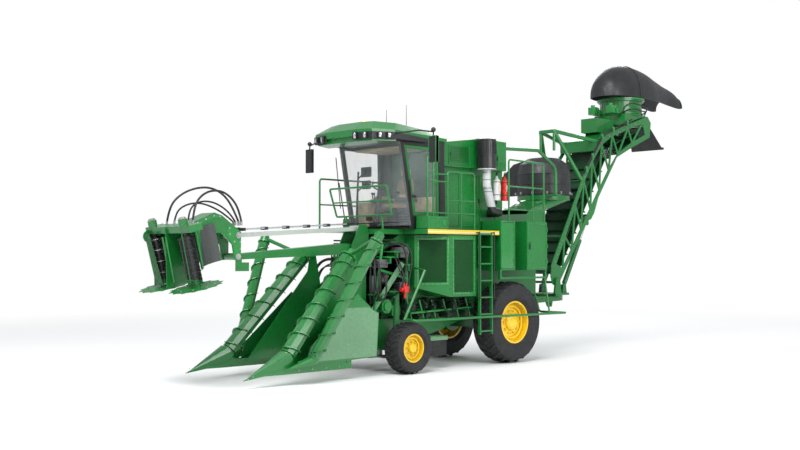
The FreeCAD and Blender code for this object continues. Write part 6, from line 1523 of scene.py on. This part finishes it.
# rows of bolts: both ends as (x, z) from the foot pin, and their count
BOLT_ROWS = ((0.10, 0.44, -0.92, 2.22, 12), (-1.05, 2.40, -1.72, 3.24, 7), (-1.86, 3.36, -3.55, 3.95, 10))
shape = bmesh.new()
for side in (1, -1):
    for x0, z0, x1, z1, count in BOLT_ROWS:
        start, end = along_elevator(x0, side * 0.536, z0), along_elevator(x1, side * 0.536, z1)
        for at in between(start, end, count):
            if not 3.10 < at.z < 3.66:
                add_disc(shape, at, (0, side, 0), 0.013, 0.009, 6)
make_piece("truss_bolts", shape, "elevator", bolt_steel)

shape = bmesh.new()
for offset in (0.0, 0.05):
    foot, bend, top = (along_elevator(x, 0.548, z + offset) for x, z in PIPE_BENDS)
    add_bar(shape, foot, bend, 0.016)
    add_bar(shape, bend, top, 0.016)
make_piece("truss_pipes", shape, "elevator", hose_rubber)
shape = bmesh.new()
for x, z in ((-1.10, 2.56), (-1.35, 2.88), (-1.74, 3.36), (-2.2, 3.57), (-2.8, 3.78)):
    add_block(shape, along_elevator(x - 0.03, 0.532, z - 0.04), along_elevator(x + 0.03, 0.57, z + 0.09),
              0.006)
make_piece("pipe_clamps", shape, "elevator", bright_green)

# %% [markdown]
# ## Round the elevator's extractor
# Two hoses on each side loop round the extractor above its floor. A ring of stays stands under the
# hood, and two small motors stand on each side of the floor's front.

# %% Hoses, stays and motors
HEAD_ROUTES = {
    "high": ([(-5.10, 0.36, 5.68), (-5.08, 0.40, 5.82), (-5.16, 0.54, 5.92), (-5.34, 0.64, 5.90),
              (-5.60, 0.66, 5.84), (-5.84, 0.60, 5.86), (-5.98, 0.48, 5.82), (-6.02, 0.38, 5.68)], 1.37),
    "low": ([(-5.16, 0.30, 5.68), (-5.12, 0.46, 5.76), (-5.26, 0.60, 5.78), (-5.52, 0.64, 5.74),
             (-5.78, 0.60, 5.76), (-5.92, 0.46, 5.76), (-5.94, 0.34, 5.68)], 1.2)}
for side, name in SIDES:
    for key, (route, length) in HEAD_ROUTES.items():
        hose(f"{name}_head_hose_{key}", [(x, side * y, z) for x, y, z in route], 0.016, "elevator", length)
shape = bmesh.new()
add_turned(shape, (HOOD_X, 0, 0), UP, [(0.470, 5.700), (0.560, 5.700), (0.560, 5.718), (0.470, 5.718)], 48)
for i in range(12):
    out = Vector((math.cos(math.radians(30 * i)), math.sin(math.radians(30 * i)), 0))
    add_disc(shape, Vector((HOOD_X, 0, 5.716)) + out * 0.535, UP, 0.014, 0.014, 6)
    add_bar(shape, Vector((HOOD_X, 0, 5.70)) + out * 0.50, Vector((HOOD_X, 0, 6.01)) + out * 0.50, 0.014, 8)
make_piece("extractor_stays", shape, "elevator", bright_green)
shape = bmesh.new()
for side in (1, -1):
    for x, top in ((-4.92, 5.80), (-4.74, 5.85)):
        add_block(shape, (x - 0.07, side * 0.26 - 0.10, 5.66), (x + 0.07, side * 0.26 + 0.10, top), 0.014)
        add_disc(shape, (x, side * 0.26, top), UP, 0.05, 0.05, 20)
make_piece("head_motors", shape, "elevator", bright_green)
